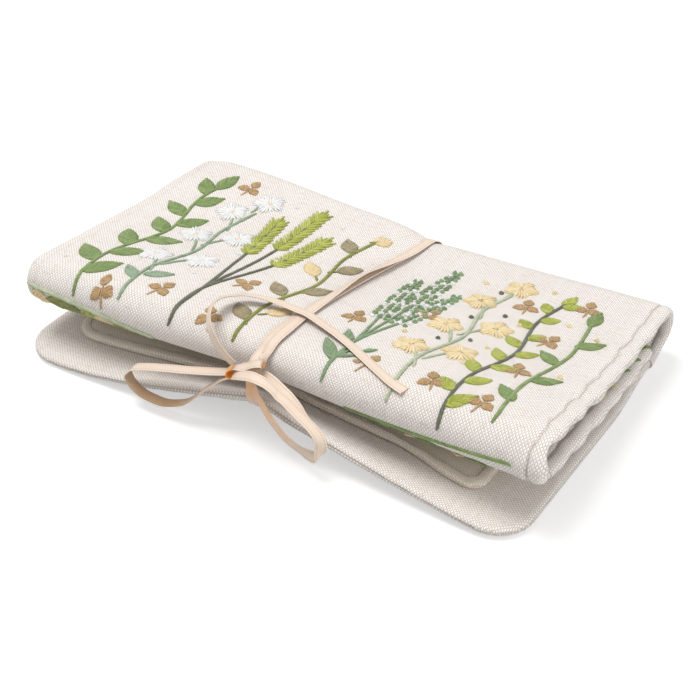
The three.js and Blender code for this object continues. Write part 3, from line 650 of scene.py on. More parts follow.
# %% Bow routes
left_stops = knot_route(
    (-3, -1, -1), (-10.2, -1.6, -3.7), (-21.5, -2.8, -6.7), (-33.1, -4.0, -9.3), (-42.0, -4.9, -11.6),
    (-45.5, -5.4, -13.0), (-47.5, -6.0, -16.0), (-45.6, -6.5, -18.7), (-41.3, -6.9, -20.8),
    (-36.5, -7.0, -21.4), (-31.8, -6.9, -21.4), (-27.2, -6.7, -20.0), (-22.7, -6.3, -17.9),
    (-19.8, -5.8, -15.4), (-15.7, -4.9, -11.1), (-11.7, -3.8, -7.3), (-9.1, -3.0, -5.0), (-4, -1.6, -1.9))
left_sides = [(0, -0.985, -0.17)] * 18
# Painted shade on the left loop: brown on its reverse, deeper on the lower strand.
left_painted_shading = [(0, 0.3)] * 5 + [(0, 0.45)] * 3 + [(0, 0.6)] * 4 + [(0, 0.5)] * 2 + [(0, 0.3)] * 4
right_stops = knot_route(
    (-3.5, -4.4, -0.4), (-1.5, -5.1, 0.6), (0.8, -5.7, 1.5), (4.9, -6.1, 2.7),
    (8.3, -6.2, 2.6), (10.8, -6.2, 1.9), (13.4, -6.2, 0.6), (15.3, -6.2, -0.7),
    (18, -6.4, -1.7), (21, -6.7, -3.3), (24.2, -7, -5), (27.4, -7.2, -6.8), (30.3, -7.6, -8.6),
    (32.1, -8.1, -10.7), (32.7, -8.4, -13.3), (32.2, -8.50, -15.14), (31.8, -8.30, -16.72),
    (31.3, -7.95, -17.73), (30.6, -7.60, -18.34), (29.0, -7.40, -18.90), (27.1, -7.30, -18.91),
    (22.6, -6.8, -18.3), (17.6, -6.3, -16.7), (13.8, -5.9, -14), (10.5, -5.4, -11.3),
    (7.5, -4.7, -8.1), (4.8, -3.8, -6), (3, -2.4, -4.5))
right_sides = [(-0.43, 0.85, 0.29), (-0.4, 0.87, 0.28), (-0.37, 0.89, 0.27), (-0.35, 0.89, 0.27),
               (-0.13, 0.96, 0.23), (-0.12, 0.99, 0.03), (-0.08, 0.99, -0.08), (0, 0.98, 0.02),
               (0.06, 0.98, 0.05), (0.1, 0.96, 0.1), (0.14, 0.97, 0.1), (0.2, 0.97, 0.06),
               (0.31, 0.95, 0.1), (0.56, 0.81, 0.15), (0.8, 0.6, 0.11), (0.64, 0.68, 0.35),
               (0.44, 0.71, 0.54), (0.27, 0.7, 0.67), (0.25, 0.69, 0.68), (0.36, 0.5, 0.74),
               (0.5, 0.2, 0.77)] + [(0.6, -0.15, 0.78)] * 7
# Painted shade on the right loop's reverse near the knot, and painted warm light on its lower strand.
right_painted_shading = [(0.15, 0.3), (0, 0.3)] + [(0, 0.2)] * 13 + [(0, 0)] * 8
right_painted_shading += [(-0.4, -0.4)] * 2 + [(-0.75, -0.75)] * 4
right_width = [4.0] * 16 + [3.9] * 8 + [3.8] * 5


# %% Tail routes
def on_cover(x, v, height):
    return offset_point(cover, x, v, -(CLEAR_OF + height))


tail_stops = knot_route(
    (-6.7, 0.2, -0.4), (-10, 0, 2), (-13.2, -0.3, 5.9), (-16.1, 0.6, 10), (-18.7, 3.5, 11.7),
    (-20.8, 8, 12.9), (-22.1, 13.5, 12.2), (-22, 19.5, 10.5))
tail_stops += [on_cover(*p) for p in (
    (-19.7, 0.863, 2.6), (-14.3, 0.834, 2.4), (-7.9, 0.822, 2.2), (-0.8, 0.82, 1.8), (3.7, 0.823, 1.7),
    (11.6, 0.849, 1.3), (18.5, 0.876, 1.0), (25.8, 0.909, 0.5), (33.2, 0.949, 0.2), (41.7, 0.994, 0.05),
    (48.4, 1.084, 0), (53.5, 1.132, 0))]
tail_sides = [(-0.58, 0.19, -0.79), (-0.69, 0.16, -0.7), (-0.78, 0.15, -0.61), (-0.63, 0.21, -0.74),
              (-0.49, 0.03, -0.87), (-0.58, -0.16, -0.8), (-0.82, -0.2, -0.53), (-0.94, 0.11, -0.33),
              (-0.7, 0.63, -0.34), (-0.34, 0.9, -0.29), (-0.11, 0.97, -0.2), (-0.04, 0.98, -0.17),
              (0.18, 0.96, -0.2), (0.33, 0.92, -0.23), (0.38, 0.9, -0.22), (0.43, 0.88, -0.22),
              (0.46, 0.87, -0.19), (0.43, 0.89, -0.12), (0.33, 0.94, -0.02), (0.25, 0.97, 0.05)]
short_stops = knot_route(
    (2.6, 0.3, -0.6), (3.65, -0.2, -0.3), (6.6, -0.8, -0.1), (10.2, -1.7, -0.4), (13.4, -2.4, -1.4),
    (17.1, -3.3, -2.5), (20.5, -4.2, -4.1), (23.5, -5.3, -6), (26.2, -6.2, -7.8))
short_sides = [(0.1, 0.8, 0.6)] * 4 + [(0.06, 0.85, 0.5), (0.06, 0.9, 0.35), (0.06, 0.94, 0.2),
                                       (0.1, 0.96, 0.05), (0.1, 0.96, 0)]
print("stops of the bow and tails", len(left_stops), len(right_stops), len(tail_stops), len(short_stops))

# %% Ribbon pieces
# Painted shade on the side of the band against the cloth, and painted warm light on the band below the knot.
wrap_painted_shading = [(0.5, 0)] * (len(wrap_stops) - 4) + [(0.5, -0.4), (0.5, -0.8), (0.5, -1), (0.5, -1)]
wrap_width = [3.2, 3.2, 3.3, 3.6] + [4.0] * (len(wrap_stops) - 4)
wrap, wrap_line, wrap_length = ribbon_strip(
    "ribbon_wrap_cloth", wrap_stops, [ALONG] * len(wrap_stops), 300, wrap_width, wrap_painted_shading)
# Painted shade on the second strand: brown on the side against the cloth, orange on its other side where it
# goes down behind the knot.
second_painted_shading = [(0.5, 0.8), (0.5, 0.76), (0.5, 0.4), (0.5, 0.1)] + [(0.5, 0)] * (len(second_stops) - 4)
second_width = [2.1, 2.3, 2.7, 3.0, 3.2, 3.6] + [4.0] * (len(second_stops) - 6)
second, second_line, second_length = ribbon_strip(
    "ribbon_second_cloth", second_stops, second_sides, 150, second_width, second_painted_shading)
left, left_line, left_length = ribbon_strip("bow_left_cloth", left_stops, left_sides, 140, painted_shading_by_stop=left_painted_shading)
right, right_line, right_length = ribbon_strip(
    "bow_right_cloth", right_stops, right_sides, 280, right_width, right_painted_shading)
tail, tail_line, tail_length = ribbon_strip("tail_long_cloth", tail_stops, tail_sides, 150)
short, _, short_length = ribbon_strip("tail_short_cloth", short_stops, short_sides, 60)
shown = wrap_length + second_length + left_length + right_length + tail_length + short_length
print("ribbon shown, m:", round(shown, 3))

# %% [markdown]
# The knot is a turn of the same ribbon pulled tight: it comes from the band over the cover,
# runs to the left, turns round and goes back into the bow. A carved lump would look like clay,
# so the knot is a strip bent into that turn round a small gathered core.

# %% Knot
knot_stops = knot_route(
    (4.6, 0.2, 4.2), (4.8, -1, 5.05), (2.75, -1.8, 4.35), (0.5, -2.3, 2.85), (-1.35, -2.5, 2.05),
    (-3.3, -2.65, 1.4), (-5.2, -3.3, 0.75), (-6.5, -3.8, -0.45), (-6.35, -3.75, -1.65),
    (-5.3, -3.5, -1.8), (-4.1, -3.8, -1), (-1.7, -5, 0.2))
knot_sides = [(-0.05, 0.95, 0.3)] * 3 + [
    (-0.15, 0.95, 0.22), (-0.3, 0.93, 0.12), (-0.27, 0.94, -0.08), (-0.28, 0.94, -0.12),
    (-0.33, 0.93, -0.05), (-0.38, 0.9, 0.1), (-0.42, 0.87, 0.22)] + [(-0.43, 0.85, 0.29)] * 2
# Painted shade in the knot: brown, then orange deep in its turn.
knot_painted_shading = [(0.4, 0.2)] + [(0.4, 0)] * 3 + [
    (0.5, 0), (0.8, 0.1), (1, 0.85), (1, 0.9), (1, 0.6), (0.95, 0.3), (0.75, 0.3), (0.1, 0.3)]
knot_turn, _, _ = ribbon_strip("knot_turn_cloth", knot_stops, knot_sides, 90, 3.9, knot_painted_shading)

# %% Gathered core of the knot
CORE_HALF, CORE_DEPTH, CORE_HEIGHT, CORE_BACK = 4.6, 1.7, 2.0, 0.9
CORE_PLEATS, PLEAT_DEPTH, CORE_SHADE = 5, 0.07, 0.4
CORE_RINGS, CORE_SIDES = 15, 16
core_points = []
for t in np.linspace(-0.48, 0.48, CORE_RINGS):
    lean = np.pi * t
    for a in np.linspace(0, 2 * np.pi, CORE_SIDES, endpoint=False):
        pleat = 1 + PLEAT_DEPTH * math.sin(CORE_PLEATS * a + 2 * t)
        core_points.append(from_knot(CORE_HALF * math.sin(lean),
                                     CORE_BACK + CORE_DEPTH * math.cos(lean) * math.cos(a) * pleat,
                                     CORE_HEIGHT * math.cos(lean) * math.sin(a) * pleat))
core_points = np.array(core_points)
core_faces = ring_faces(CORE_RINGS, CORE_SIDES)
core_faces += [tuple(range(CORE_SIDES)), tuple(range((CORE_RINGS - 1) * CORE_SIDES, CORE_RINGS * CORE_SIDES))]
core_weave = np.stack([np.tile(np.linspace(-6, 6, CORE_SIDES), CORE_RINGS),
                       core_points[:, 0], 0 * core_points[:, 0] + CORE_SHADE], -1)
knot_core = finished("knot_core_cloth", core_points, core_faces, peach_ribbon, core_weave)
print("knot faces", len(knot_turn.data.polygons), len(knot_core.data.polygons))

# %% Ribbon in the frame
for piece, node in ((wrap, "ribbon_wrap"), (second, "ribbon_second_strand"), (left, "bow_loop_left"),
                    (right, "bow_loop_right"), (tail, "ribbon_tail_long"), (short, "ribbon_tail_short"),
                    (knot_core, "ribbon_knot"), (knot_turn, None)):
    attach(piece, "ribbon")
    if node:
        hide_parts(node)
    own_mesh(piece)
CORDS = ((wrap, wrap_line, wrap_length, "knot", "taut", [knot_core, knot_turn]),
         (second, second_line, second_length, "object", "taut", []),
         (left, left_line, left_length, "object", "hanging", []),
         (right, right_line, right_length, "object", "hanging", [short]),
         (tail, tail_line, tail_length, "bare", "loose", []))
for piece, line, length, far_end, lay, carried in CORDS:
    print(piece.name, "length, m:", round(length, 4))

# %% [markdown]
# ## Padded panels
# Each panel is two plies of linen over padding. Blender's Solidify would give it an even
# thickness, but a sewn pad is full in the middle, thin in the stitched ditch near the ends and
# round at its edge. So each panel is two grids, one for each ply, at a distance from the middle
# surface that follows the distance to the nearest seam, and closed along the seams.

# %% Two plies over padding
PLY_SHIFT = np.array([37.3, 11.9, 0])


def ply_points(panel, x, v, outer, lining, shift=0.0):
    """The points of the outer ply, then of the lining, on either side of a panel's middle surface."""
    out = normal_of(panel, x, v)
    middle = panel["surface"](x, v) + out * (np.asarray(shift) + panel.get("base", 0.0))[..., None]
    return np.concatenate([(middle - out * outer[..., None]).reshape(-1, 3),
                           (middle + out * lining[..., None]).reshape(-1, 3)])


def ply_faces(rows, cols):
    """The faces of two grids, a pair for each cell: outer ply and lining."""
    lift = rows * cols
    faces = []
    for r in range(rows - 1):
        for c in range(cols - 1):
            a, b = r * cols + c, (r + 1) * cols + c
            faces += [(a, a + 1, b + 1, b), (lift + a, lift + b, lift + b + 1, lift + a + 1)]
    return faces


def two_plies(name, panel, x, v, outer, lining, run, kinds, materials, start_open, end_open, shift, seam):
    """x, v, outer, lining, shift and seam are grids of rows by columns, seam being the painted shade
    along the seams; run is the cloth length at each row, kinds the finish of each column on either
    ply, and an open end is closed with a strip."""
    rows, cols = x.shape
    lift = rows * cols
    points = ply_points(panel, x, v, outer, lining, shift)
    cloth = np.stack([x, run + 0 * x, seam + 0 * x], -1).reshape(-1, 3)
    weave = np.concatenate([cloth, cloth + PLY_SHIFT])
    faces = ply_faces(rows, cols)
    kind = [k for pair in zip(*kinds) for k in pair] * (rows - 1)
    for r, is_open in ((0, start_open), (rows - 1, end_open)):
        if is_open:
            for c in range(cols - 1):
                a = r * cols + c
                faces.append((a, a + 1, lift + a + 1, lift + a))
                kind.append(1)
    return finished(name, points, faces, materials, weave, kind)


def wave(s, seed):
    """An uneven, seeded wobble along a seam, about -1 to 1."""
    return (0.55 * np.sin(2 * np.pi * s / 19 + seed) + 0.3 * np.sin(2 * np.pi * s / 7.7 + 2.1 * seed + 1)
            + 0.2 * np.sin(2 * np.pi * s / 31 + 0.7 * seed))


def puffs(s, seed):
    """The soft swelling between one stitch of the binding and the next, about -1 to 1."""
    swell = 0.7 * np.sin(2 * np.pi * s / 15.5 + seed) + 0.35 * np.sin(2 * np.pi * s / 25 + 2.1 * seed + 1)
    return swell * np.clip(s / 95, 0.4, 1)


# %% Roll: columns from bound end to bound end
END_STEPS = [0, 0.08, 0.3, 0.7, 1.2, 1.8, 2.5, 3.2, 3.8, 4.1, 4.35, 4.6, 5.0, 5.6, 6.4, 7.6, 9.2, 11.0, 12.4]
END_ZONE = END_STEPS[-1]
inside_steps = np.linspace(END_ZONE, 2 * ROLL_END - END_ZONE, 74)[1:-1]
from_left = np.array(END_STEPS + list(inside_steps) + [2 * ROLL_END - d for d in reversed(END_STEPS)])
roll_x = from_left - ROLL_END
from_end = np.minimum(from_left, 2 * ROLL_END - from_left)
end_sign = np.where(roll_x < 0, -1.0, 1.0)
bound = from_end < BINDING
in_binding = bound[:-1] & bound[1:]
roll_kinds = (np.where(in_binding, 2, 0), np.where(in_binding, 2, 1))
roll_finishes = [linen_outer, linen_lining, linen_binding]
right_end = roll_x > 0


def by_end(right, left):
    """One value for the right half of the roll and one for the left, which is pressed flatter."""
    return np.where(right_end, right, left)


END_REACH, END_SEED, END_ROUND = by_end(1.4, 0.5), by_end(2.3, 0.4), by_end(3.4, 2.8)
BINDING_HALF, PUFF_SWELL, PUFF_OUT = by_end(2.2, 1.9), by_end(0.34, 0.03), by_end(1.1, 0.1)
DITCH, DITCH_SLOPE, DITCH_SHADE = by_end(0.3, 0.1), by_end(0.14, 0.02), by_end(0.5, 0.12)
PUCKER_SWELL, PUCKER_RISE, SEAM_WANDER = by_end(0.1, 0.03), by_end(0.24, 0.06), by_end(0.6, 0.0)
FOLD_SKEW, SLOW_WRINKLE = 2.6, 0.28
round_end = np.sqrt(np.clip(1 - np.clip(1 - from_end / END_ROUND, 0, 1) ** 2.2, 0, 1))
print("roll columns", len(roll_x), "in the bindings", int(in_binding.sum()))


# %% Roll: thickness and place of each point
def roll_half(s, lobes):
    """Half thickness at each row and column: bound end, stitched ditch, padded middle."""
    d, s = from_end[None, :], s[:, None]
    full = BINDING_HALF * (1 + PUFF_SWELL * lobes * puffs(s, END_SEED))
    body = full + (PANEL / 2 - full) * ease((d - 4) / 6)
    ditch = DITCH * bell(d - BINDING, 0.5) + DITCH_SLOPE * bell(d - BINDING, 2.2)
    pucker = 1 + PUCKER_SWELL * wave(1.7 * s, END_SEED + 1) * bell(d - 9, 5)
    return body * round_end * (1 - ditch) * pucker


def roll_place(s, tuck, lobes):
    """Columns pushed out by the padding and the puffs of the binding. tuck draws in the right end of
    a row, and the right end of the fold, half way along the cloth, sticks out more than the spine."""
    near = np.clip(1 - from_end / END_ZONE, 0, 1)
    drawn_in = by_end(np.reshape(tuck, (-1, 1)), 0.0) * near
    puff = PUFF_OUT * by_end(lobes, 1) * np.clip(1 - from_end / BINDING, 0, 1) * puffs(s[:, None], END_SEED)
    seam = SEAM_WANDER * wave(1.3 * s[:, None], END_SEED + 2) * bell(from_end - BINDING, 3)
    skew = FOLD_SKEW * ease((roll_x - 30) / 70) * (ease(s / 90) * ease((220 - s) / 90))[:, None]
    return roll_x + skew + end_sign * (END_REACH * near + puff + seam - drawn_in)


def roll_wrinkle(s):
    """Soft unevenness of the padded cloth, and puckers that fade away from the ditch."""
    x, s = roll_x[None, :], s[:, None]
    slow = SLOW_WRINKLE * np.sin(x / 17 + 0.9 * np.sin(s / 23)) * np.sin(s / 19 + x / 41)
    fading = np.exp(-np.clip(from_end - BINDING, 0, 99) / 7)
    pucker = PUCKER_RISE * wave(2.2 * s, 1.1) * fading
    return (slow + pucker) * np.clip(from_end[None, :] / BINDING, 0, 1)


# %% Lengths of cloth along the roll
def cloth_run(panel, rows, start=0.0):
    return start + run_along(panel["surface"](60.0 + 0 * rows, rows))


spine_rows = np.linspace(-np.pi / 2, np.pi / 2, 41)
cover_rows = np.concatenate([[-COVER_GAP / (COVER_START - FOLD_Y)],
                             np.linspace(0, 1, 81)[1:], np.linspace(1, 2, 35)[1:]])
inner_rows = np.concatenate([np.linspace(FOLD_Y, INNER_END - 5, 61),
                             INNER_END - np.array([3.6, 2.4, 1.4, 0.7, 0.25, 0.05])])
spine_run = cloth_run(spine, spine_rows)
spine_run -= spine_run[-1]
cover_run = cloth_run(cover, cover_rows)
inner_run = cloth_run(inner, inner_rows, cover_run[-1])
print("cloth along the roll, mm:", round(inner_run[-1] - spine_run[0], 1))


# %% Roll panels
def roll_panel(name, panel, rows, run, end_open=True, thin=1.0, loft=0.0, tuck=0.0, lobes=1.0):
    """thin, loft and tuck are one value or one for each row: the share of the thickness, the extra
    padding on the lining side, less at the right end, and how far the right end is drawn in."""
    x, half = roll_place(run, tuck, lobes), roll_half(run, lobes) * np.reshape(thin, (-1, 1))
    lining = half + np.reshape(loft, (-1, 1)) * round_end * (1 - 0.55 * ease((roll_x - 70) / 28))
    # Painted shade in the stitched ditch near each end, darker at the right end.
    seam = DITCH_SHADE * bell(from_end - BINDING, 0.3) * np.ones((len(run), 1))
    return two_plies(name, panel, x, rows[:, None] + 0 * x, half, lining, run[:, None], roll_kinds,
                     roll_finishes, True, end_open, roll_wrinkle(run), seam)


SPINE_TUCK, FLAP_TUCK, FLAP_EDGE, HALF_WAY = 3.0, 3.2, 3.6, 20
spine_tuck = SPINE_TUCK * (1 - np.sin(spine_rows)) / 2
spine_low, spine_top = (
    roll_panel(name, spine, spine_rows[part], spine_run[part], tuck=spine_tuck[part], lobes=0.5)
    for name, part in (("spine_low_pad", slice(HALF_WAY + 1)), ("spine_top_pad", slice(HALF_WAY, None))))
cover_pad = roll_panel("front_cover_pad", cover, cover_rows, cover_run,
                       loft=COVER_LOFT * ease(cover_rows / 0.35) * ease((1 - cover_rows) / 0.4))
to_end = INNER_END - inner_rows
inner_thin = np.sqrt(np.clip(1 - np.clip(1 - to_end / FLAP_EDGE, 0, 1) ** 2.3, 0.0, 1))
inner_thin[-1] = 0.0
inner_tuck = FLAP_TUCK * (1 - np.sqrt(1 - np.clip(1 - to_end / 4, 0, 1) ** 2))
inner_loft = INNER_LOFT * ease((inner_rows - FOLD_Y) / FOLD_HEIGHT) * ease(to_end / 10)
inner_pad = roll_panel("inner_flap_pad", inner, inner_rows, inner_run, end_open=False,
                       thin=inner_thin, tuck=inner_tuck, lobes=0.4, loft=inner_loft)
for piece in (spine_low, spine_top, cover_pad, inner_pad):
    print(piece.name, len(piece.data.polygons), "faces")

# %% [markdown]
# ## Back cover and page
# These have a free front edge with round corners. The two plies meet in a turned seam, which
# shows as a fine line round the rim, darkened with painted shade. The page is the same thing,
# thinner, with a row of topstitching near its edge and painted shade along its groove.

# %% Panels with a free front edge
def rounded_half(y, half, front, radius):
    d = np.clip(y - front, 0, radius)
    return half - radius + np.sqrt(np.maximum(radius ** 2 - (radius - d) ** 2, 0))


# The rounded rim: distance from the edge of a rim RIM_WIDTH wide, and the share of the full thickness.
RIM = [(0.45, 0.0), (0.03, 0.16), (0.12, 0.36), (0.5, 0.6), (1.15, 0.79), (2.1, 0.92), (3.3, 0.985),
       (4.8, 1.0)]
RIM_WIDTH = 4.2


def free_panel(name, base, half, front, radii, back, thick, roll, finishes,
               cloth_start=0.0, stitch_line=None, taper=0.0, lay=None):
    """A pad with a turned seam round its front and ends. radii are its left and right corners, roll
    is the width of the rounded rim, and lay moves its flat points to where they lie."""
    rim = [(d * roll / RIM_WIDTH, h) for d, h in RIM]
    edge = [d for d, _ in rim]
    rows = [front + d for d in edge] + list(np.linspace(front + edge[-1], back, 44)[1:])
    rows = np.array(rows)
    inner_cols = np.linspace(-1, 1, 76)[1:-1]
    x = np.zeros((len(rows), 2 * len(edge) + len(inner_cols)))
    for i, y in enumerate(rows):
        left, right = (rounded_half(rows[1] if i == 0 else y, half, front, r) for r in radii)
        right = right - taper * ease((y - 12) / 36)
        spread = np.interp(inner_cols, [-1, 1], [-left + edge[-1], right - edge[-1]])
        x[i] = [-left + d for d in edge] + list(spread) + [right - d for d in reversed(edge)]
    y = rows[:, None] + 0 * x
    full = np.array([h for _, h in rim])
    col = np.concatenate([full, np.ones(len(inner_cols)), full[::-1]])
    row = np.concatenate([full, np.ones(len(rows) - len(full))])
    h = thick / 2 * np.minimum(row[:, None], col[None, :])
    radius = np.where(x < 0, *radii)
    cx, cy = np.maximum(np.abs(x) - (half - radius), 0), np.maximum(front + radius - y, 0)
    to_rim = np.where((cx > 0) & (cy > 0), radius - np.hypot(cx, cy), np.minimum(half - np.abs(x), y - front))
    h = np.minimum(h, thick / 2 * np.interp(np.maximum(to_rim, 0.0), edge[1:], full[1:]))
    h[0, :] = 0
    h[:, 0] = h[:, -1] = 0
    if stitch_line:
        h = h * (1 - 0.16 * bell(to_rim - stitch_line, 0.7))
    panel = dict(stack, base=base)
    slow = 0.3 * np.sin(x / 15 + 0.8 * np.sin(y / 14)) * np.sin(y / 17 + x / 37) * ease(to_rim / 8)
    pucker = 0.16 * wave(1.6 * (x + 1.3 * y), 0.6) * bell(to_rim - 3.5, 4)
    lining = h * (1 + 0.08 * np.sin(x / 9) * np.sin(y / 8))
    kinds = ([0] * (x.shape[1] - 1), [1] * (x.shape[1] - 1))
    # Painted shade: a thin dark line at the rim, and a fainter one along the topstitching groove, or 1.7 mm
    # in where there is none.
    seam = 0.25 * bell(to_rim, 0.3) + 0.15 * bell(to_rim - (stitch_line or 1.7), 0.45)
    x, y = lay(x, y) if lay else (x, y)
    return two_plies(name, panel, x, y, h, lining, y + cloth_start, kinds, finishes, False, True,
                     0.5 * slow + pucker * (h > 0), seam)


PAGE_HALF, PAGE_FRONT, PAGE_CORNERS, PAGE_SHIFT = 84.5, FRONT + PAGE_FRONT_INSET, (11.0, 6.0), -3.3
PAGE_BASE, PAGE_BACK, STITCH_INSET = PANEL / 2 + LEAF_GAP + PAGE / 2, 44.0, 3.2
# The front hem of the page: x, then the distance from the book's front edge.
PAGE_HEM = np.array([(-90, 15), (-77, 15.2), (-66, 15.9), (-55, 16.1), (-45, 16.5), (0, 17), (31, 17.1),
                     (45, 17.5), (52, 17.0), (59, 15.2), (66, 13.4), (70, 12.6), (76, 12.1)])


def lay_page(x, y):
    """The page is sewn in a little to the left, and its front hem isn't straight."""
    x = x + PAGE_SHIFT
    hem = FRONT + np.interp(x, *PAGE_HEM.T) - PAGE_FRONT
    return x, y + hem * (1 - ease((y - PAGE_FRONT) / 40))


back_pad = free_panel("back_cover_pad", 0.0, BOOK_LENGTH / 2, FRONT, (CORNER_RADIUS, CORNER_RADIUS - 1.5),
                      SPINE_Y, PANEL, RIM_WIDTH, [linen_outer, linen_lining], taper=2.4)
page_pad = free_panel("page_pad", PAGE_BASE, PAGE_HALF, PAGE_FRONT, PAGE_CORNERS,
                      PAGE_BACK, PAGE, 3.0, [linen_page, linen_page], 5.0, STITCH_INSET, lay=lay_page)
for piece in (back_pad, page_pad):
    print(piece.name, len(piece.data.polygons), "faces")

# %% Panels in the frame
def mid_point(y, z):
    """A point of the frame half way along the book, from millimetres."""
    return (0, round(y * MM, 6), round(z * MM, 6))


# Two points half way along the book: under the fold, and a little way along the flap.
FLAP_TURN = 15.0
below_fold = mid_point(FOLD_Y, FOLD_HEIGHT - FOLD_RADIUS)
along_flap = mid_point(FOLD_Y + FLAP_TURN, FOLD_HEIGHT - FOLD_RADIUS)
on_flap = ("front_cover", "inner_flap", below_fold, along_flap)
ROLL_NODES = {"spine": ["spine_outer", "spine_batting", "spine_lining",
                        "spine_binding_left", "spine_binding_right"],
              "cover": ["front_cover_outer", "front_cover_batting", "front_cover_lining",
                        "front_binding_left", "front_binding_right"],
              "inner": ["inner_flap_outer", "inner_flap_batting", "inner_flap_lining",
                        "inner_binding_left", "inner_binding_right"]}
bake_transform(spine_low)
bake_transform(spine_top)
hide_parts(*ROLL_NODES["spine"])
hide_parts(*ROLL_NODES["spine"])
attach(cover_pad, "front_cover")
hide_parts(*ROLL_NODES["cover"])
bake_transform(inner_pad)
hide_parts(*ROLL_NODES["inner"])
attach(back_pad, "back_cover")
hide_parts("back_cover_outer", "back_cover_batting", "back_cover_lining")
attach(page_pad, "page")
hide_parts("page_outer", "page_batting", "page_lining")
for piece, name, fill in ((spine_low, "linen_outer", 0.5), (spine_top, "linen_outer", 0.5),
                          (cover_pad, "linen_outer", 0.55), (inner_pad, "linen_outer", 0.5),
                          (back_pad, "linen_outer", 0.5), (page_pad, "linen_page", 0.3)):
    print(piece.name, "filled", fill)

# %% [markdown]
# ## Needle felt
# The leaf that holds the needles is one thickness of wool felt with a pinked edge. It is a flat
# sheet, so it is a thin closed grid on the page's surface, with its outline cut in small teeth.

# %% Felt finish
FELT_LIGHT, FELT_DARK, FELT_CLOUD = (0.86, 0.79, 0.62), (0.74, 0.66, 0.48), (0.66, 0.58, 0.42)


def felt_finish():
    finish, tree, shader = new_finish("wool_felt", 0.95, 0.15, 0.3)
    w = Wires(tree)
    cloth = attribute(tree, "weave").outputs["Vector"]
    hair = w.noise(cloth, 1.4, 5.0, 0.7)
    cloud = w.noise(cloth, 0.12, 3.0)
    tone = w.mix(w.span(hair, 0.3, 0.7), FELT_LIGHT, FELT_DARK)
    tone = w.mix(w.span(cloud, 0.3, 0.8, 0.0, 0.25), tone, FELT_CLOUD)
    dress(tree, shader, tone, hair, 0.5, 0.0004)
    return finish


wool_felt = felt_finish()
print("felt nodes", len(wool_felt.node_tree.nodes))

# %% Felt leaf
FELT_FRONT, FELT_HALF, FELT_BACK, FELT_CORNER, TOOTH = FRONT + 28.5, 76.0, 46.0, 8.0, 0.9
felt_y = np.linspace(FELT_FRONT, FELT_BACK, 107)
felt_u = np.linspace(-1, 1, 103)


def tooth(k):
    return TOOTH * np.abs((k % 2) - 1)


felt_x = np.array([felt_u * (rounded_half(y, FELT_HALF, FELT_FRONT, FELT_CORNER) - tooth(i))
                   for i, y in enumerate(felt_y)])
felt_rows = felt_y[:, None] + 0 * felt_x
felt_rows[0] += tooth(np.arange(len(felt_u)))
felt_h = np.full(felt_x.shape, FELT / 2)
felt_panel = dict(stack, base=PANEL / 2 + LEAF_GAP + PAGE + LEAF_GAP + FELT / 2)
felt_points = ply_points(felt_panel, felt_x, felt_rows, felt_h, felt_h)
rows, cols = felt_x.shape
felt_faces = ply_faces(rows, cols)
edge_loop = list(range(cols)) + [r * cols + cols - 1 for r in range(1, rows)]
edge_loop += [(rows - 1) * cols + c for c in range(cols - 2, -1, -1)]
edge_loop += [r * cols for r in range(rows - 2, 0, -1)]
for a, b in zip(edge_loop, edge_loop[1:] + edge_loop[:1]):
    felt_faces.append((a, b, rows * cols + b, rows * cols + a))
felt_weave = np.tile(np.stack([felt_x, felt_rows, 0 * felt_x], -1).reshape(-1, 3), (2, 1))
felt_leaf = finished("needle_felt_leaf", felt_points, felt_faces, wool_felt, felt_weave)
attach(felt_leaf, "felt_leaf")
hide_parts("needle_felt")
print("felt faces", len(felt_leaf.data.polygons))

# %% [markdown]
# ## Embroidery
# The outside is worked in stranded cotton: stem stitch for the stalks, satin and fishbone
# stitch for leaves and petals, French knots for seeds. Painting it on the cloth would stay flat
# in raking light, so every stitch is a small humped piece of thread. The motifs are drawn
# below as lists of stitches on the flat cloth; one Geometry Nodes tree then lays a thread on
# each, and another winds the knots.

# %% Thread finishes
THREADS = {
    "leaf": ((0.140, 0.225, 0.055), (0.300, 0.400, 0.140)),
    "fern": ((0.170, 0.260, 0.130), (0.300, 0.420, 0.230)),
    "sage": ((0.230, 0.330, 0.210), (0.400, 0.500, 0.340)),
    "lime": ((0.300, 0.340, 0.020), (0.560, 0.600, 0.140)),
    "moss": ((0.180, 0.200, 0.030), (0.340, 0.360, 0.080)),
    "slate": ((0.090, 0.095, 0.060), (0.180, 0.180, 0.125)),
    "mist": ((0.400, 0.450, 0.290), (0.570, 0.620, 0.440)),
    "cream": ((0.780, 0.600, 0.300), (0.930, 0.780, 0.500)),
    "white": ((0.800, 0.790, 0.770), (0.930, 0.930, 0.920)),
    "ochre": ((0.400, 0.240, 0.095), (0.600, 0.400, 0.200)),
    "taupe": ((0.260, 0.210, 0.110), (0.470, 0.400, 0.240)),
    "linen": ((0.560, 0.510, 0.440), (0.760, 0.720, 0.650)),
}


def thread_finish(name, dark, light):
    finish, tree, shader = new_finish("thread_" + name, 0.62, 0.35, 0.2)
    w = Wires(tree)
    along, around, tone = (attribute(tree, label).outputs["Fac"] for label in ("along", "around", "tone"))
    twist = placed_group(tree, twisted_thread, Along=along, Around=around)
    base = w.mix(tone, dark, light)
    base = w.mix(w.span(twist.outputs["Height"], 0.0, 0.45, 0.45, 0.0), base, tuple(0.7 * c for c in dark))
    dress(tree, shader, base, twist.outputs["Height"], 0.6, 0.0002)
    return finish


thread_finishes = {name: thread_finish(name, *pair) for name, pair in THREADS.items()}
print("thread colours", len(thread_finishes))


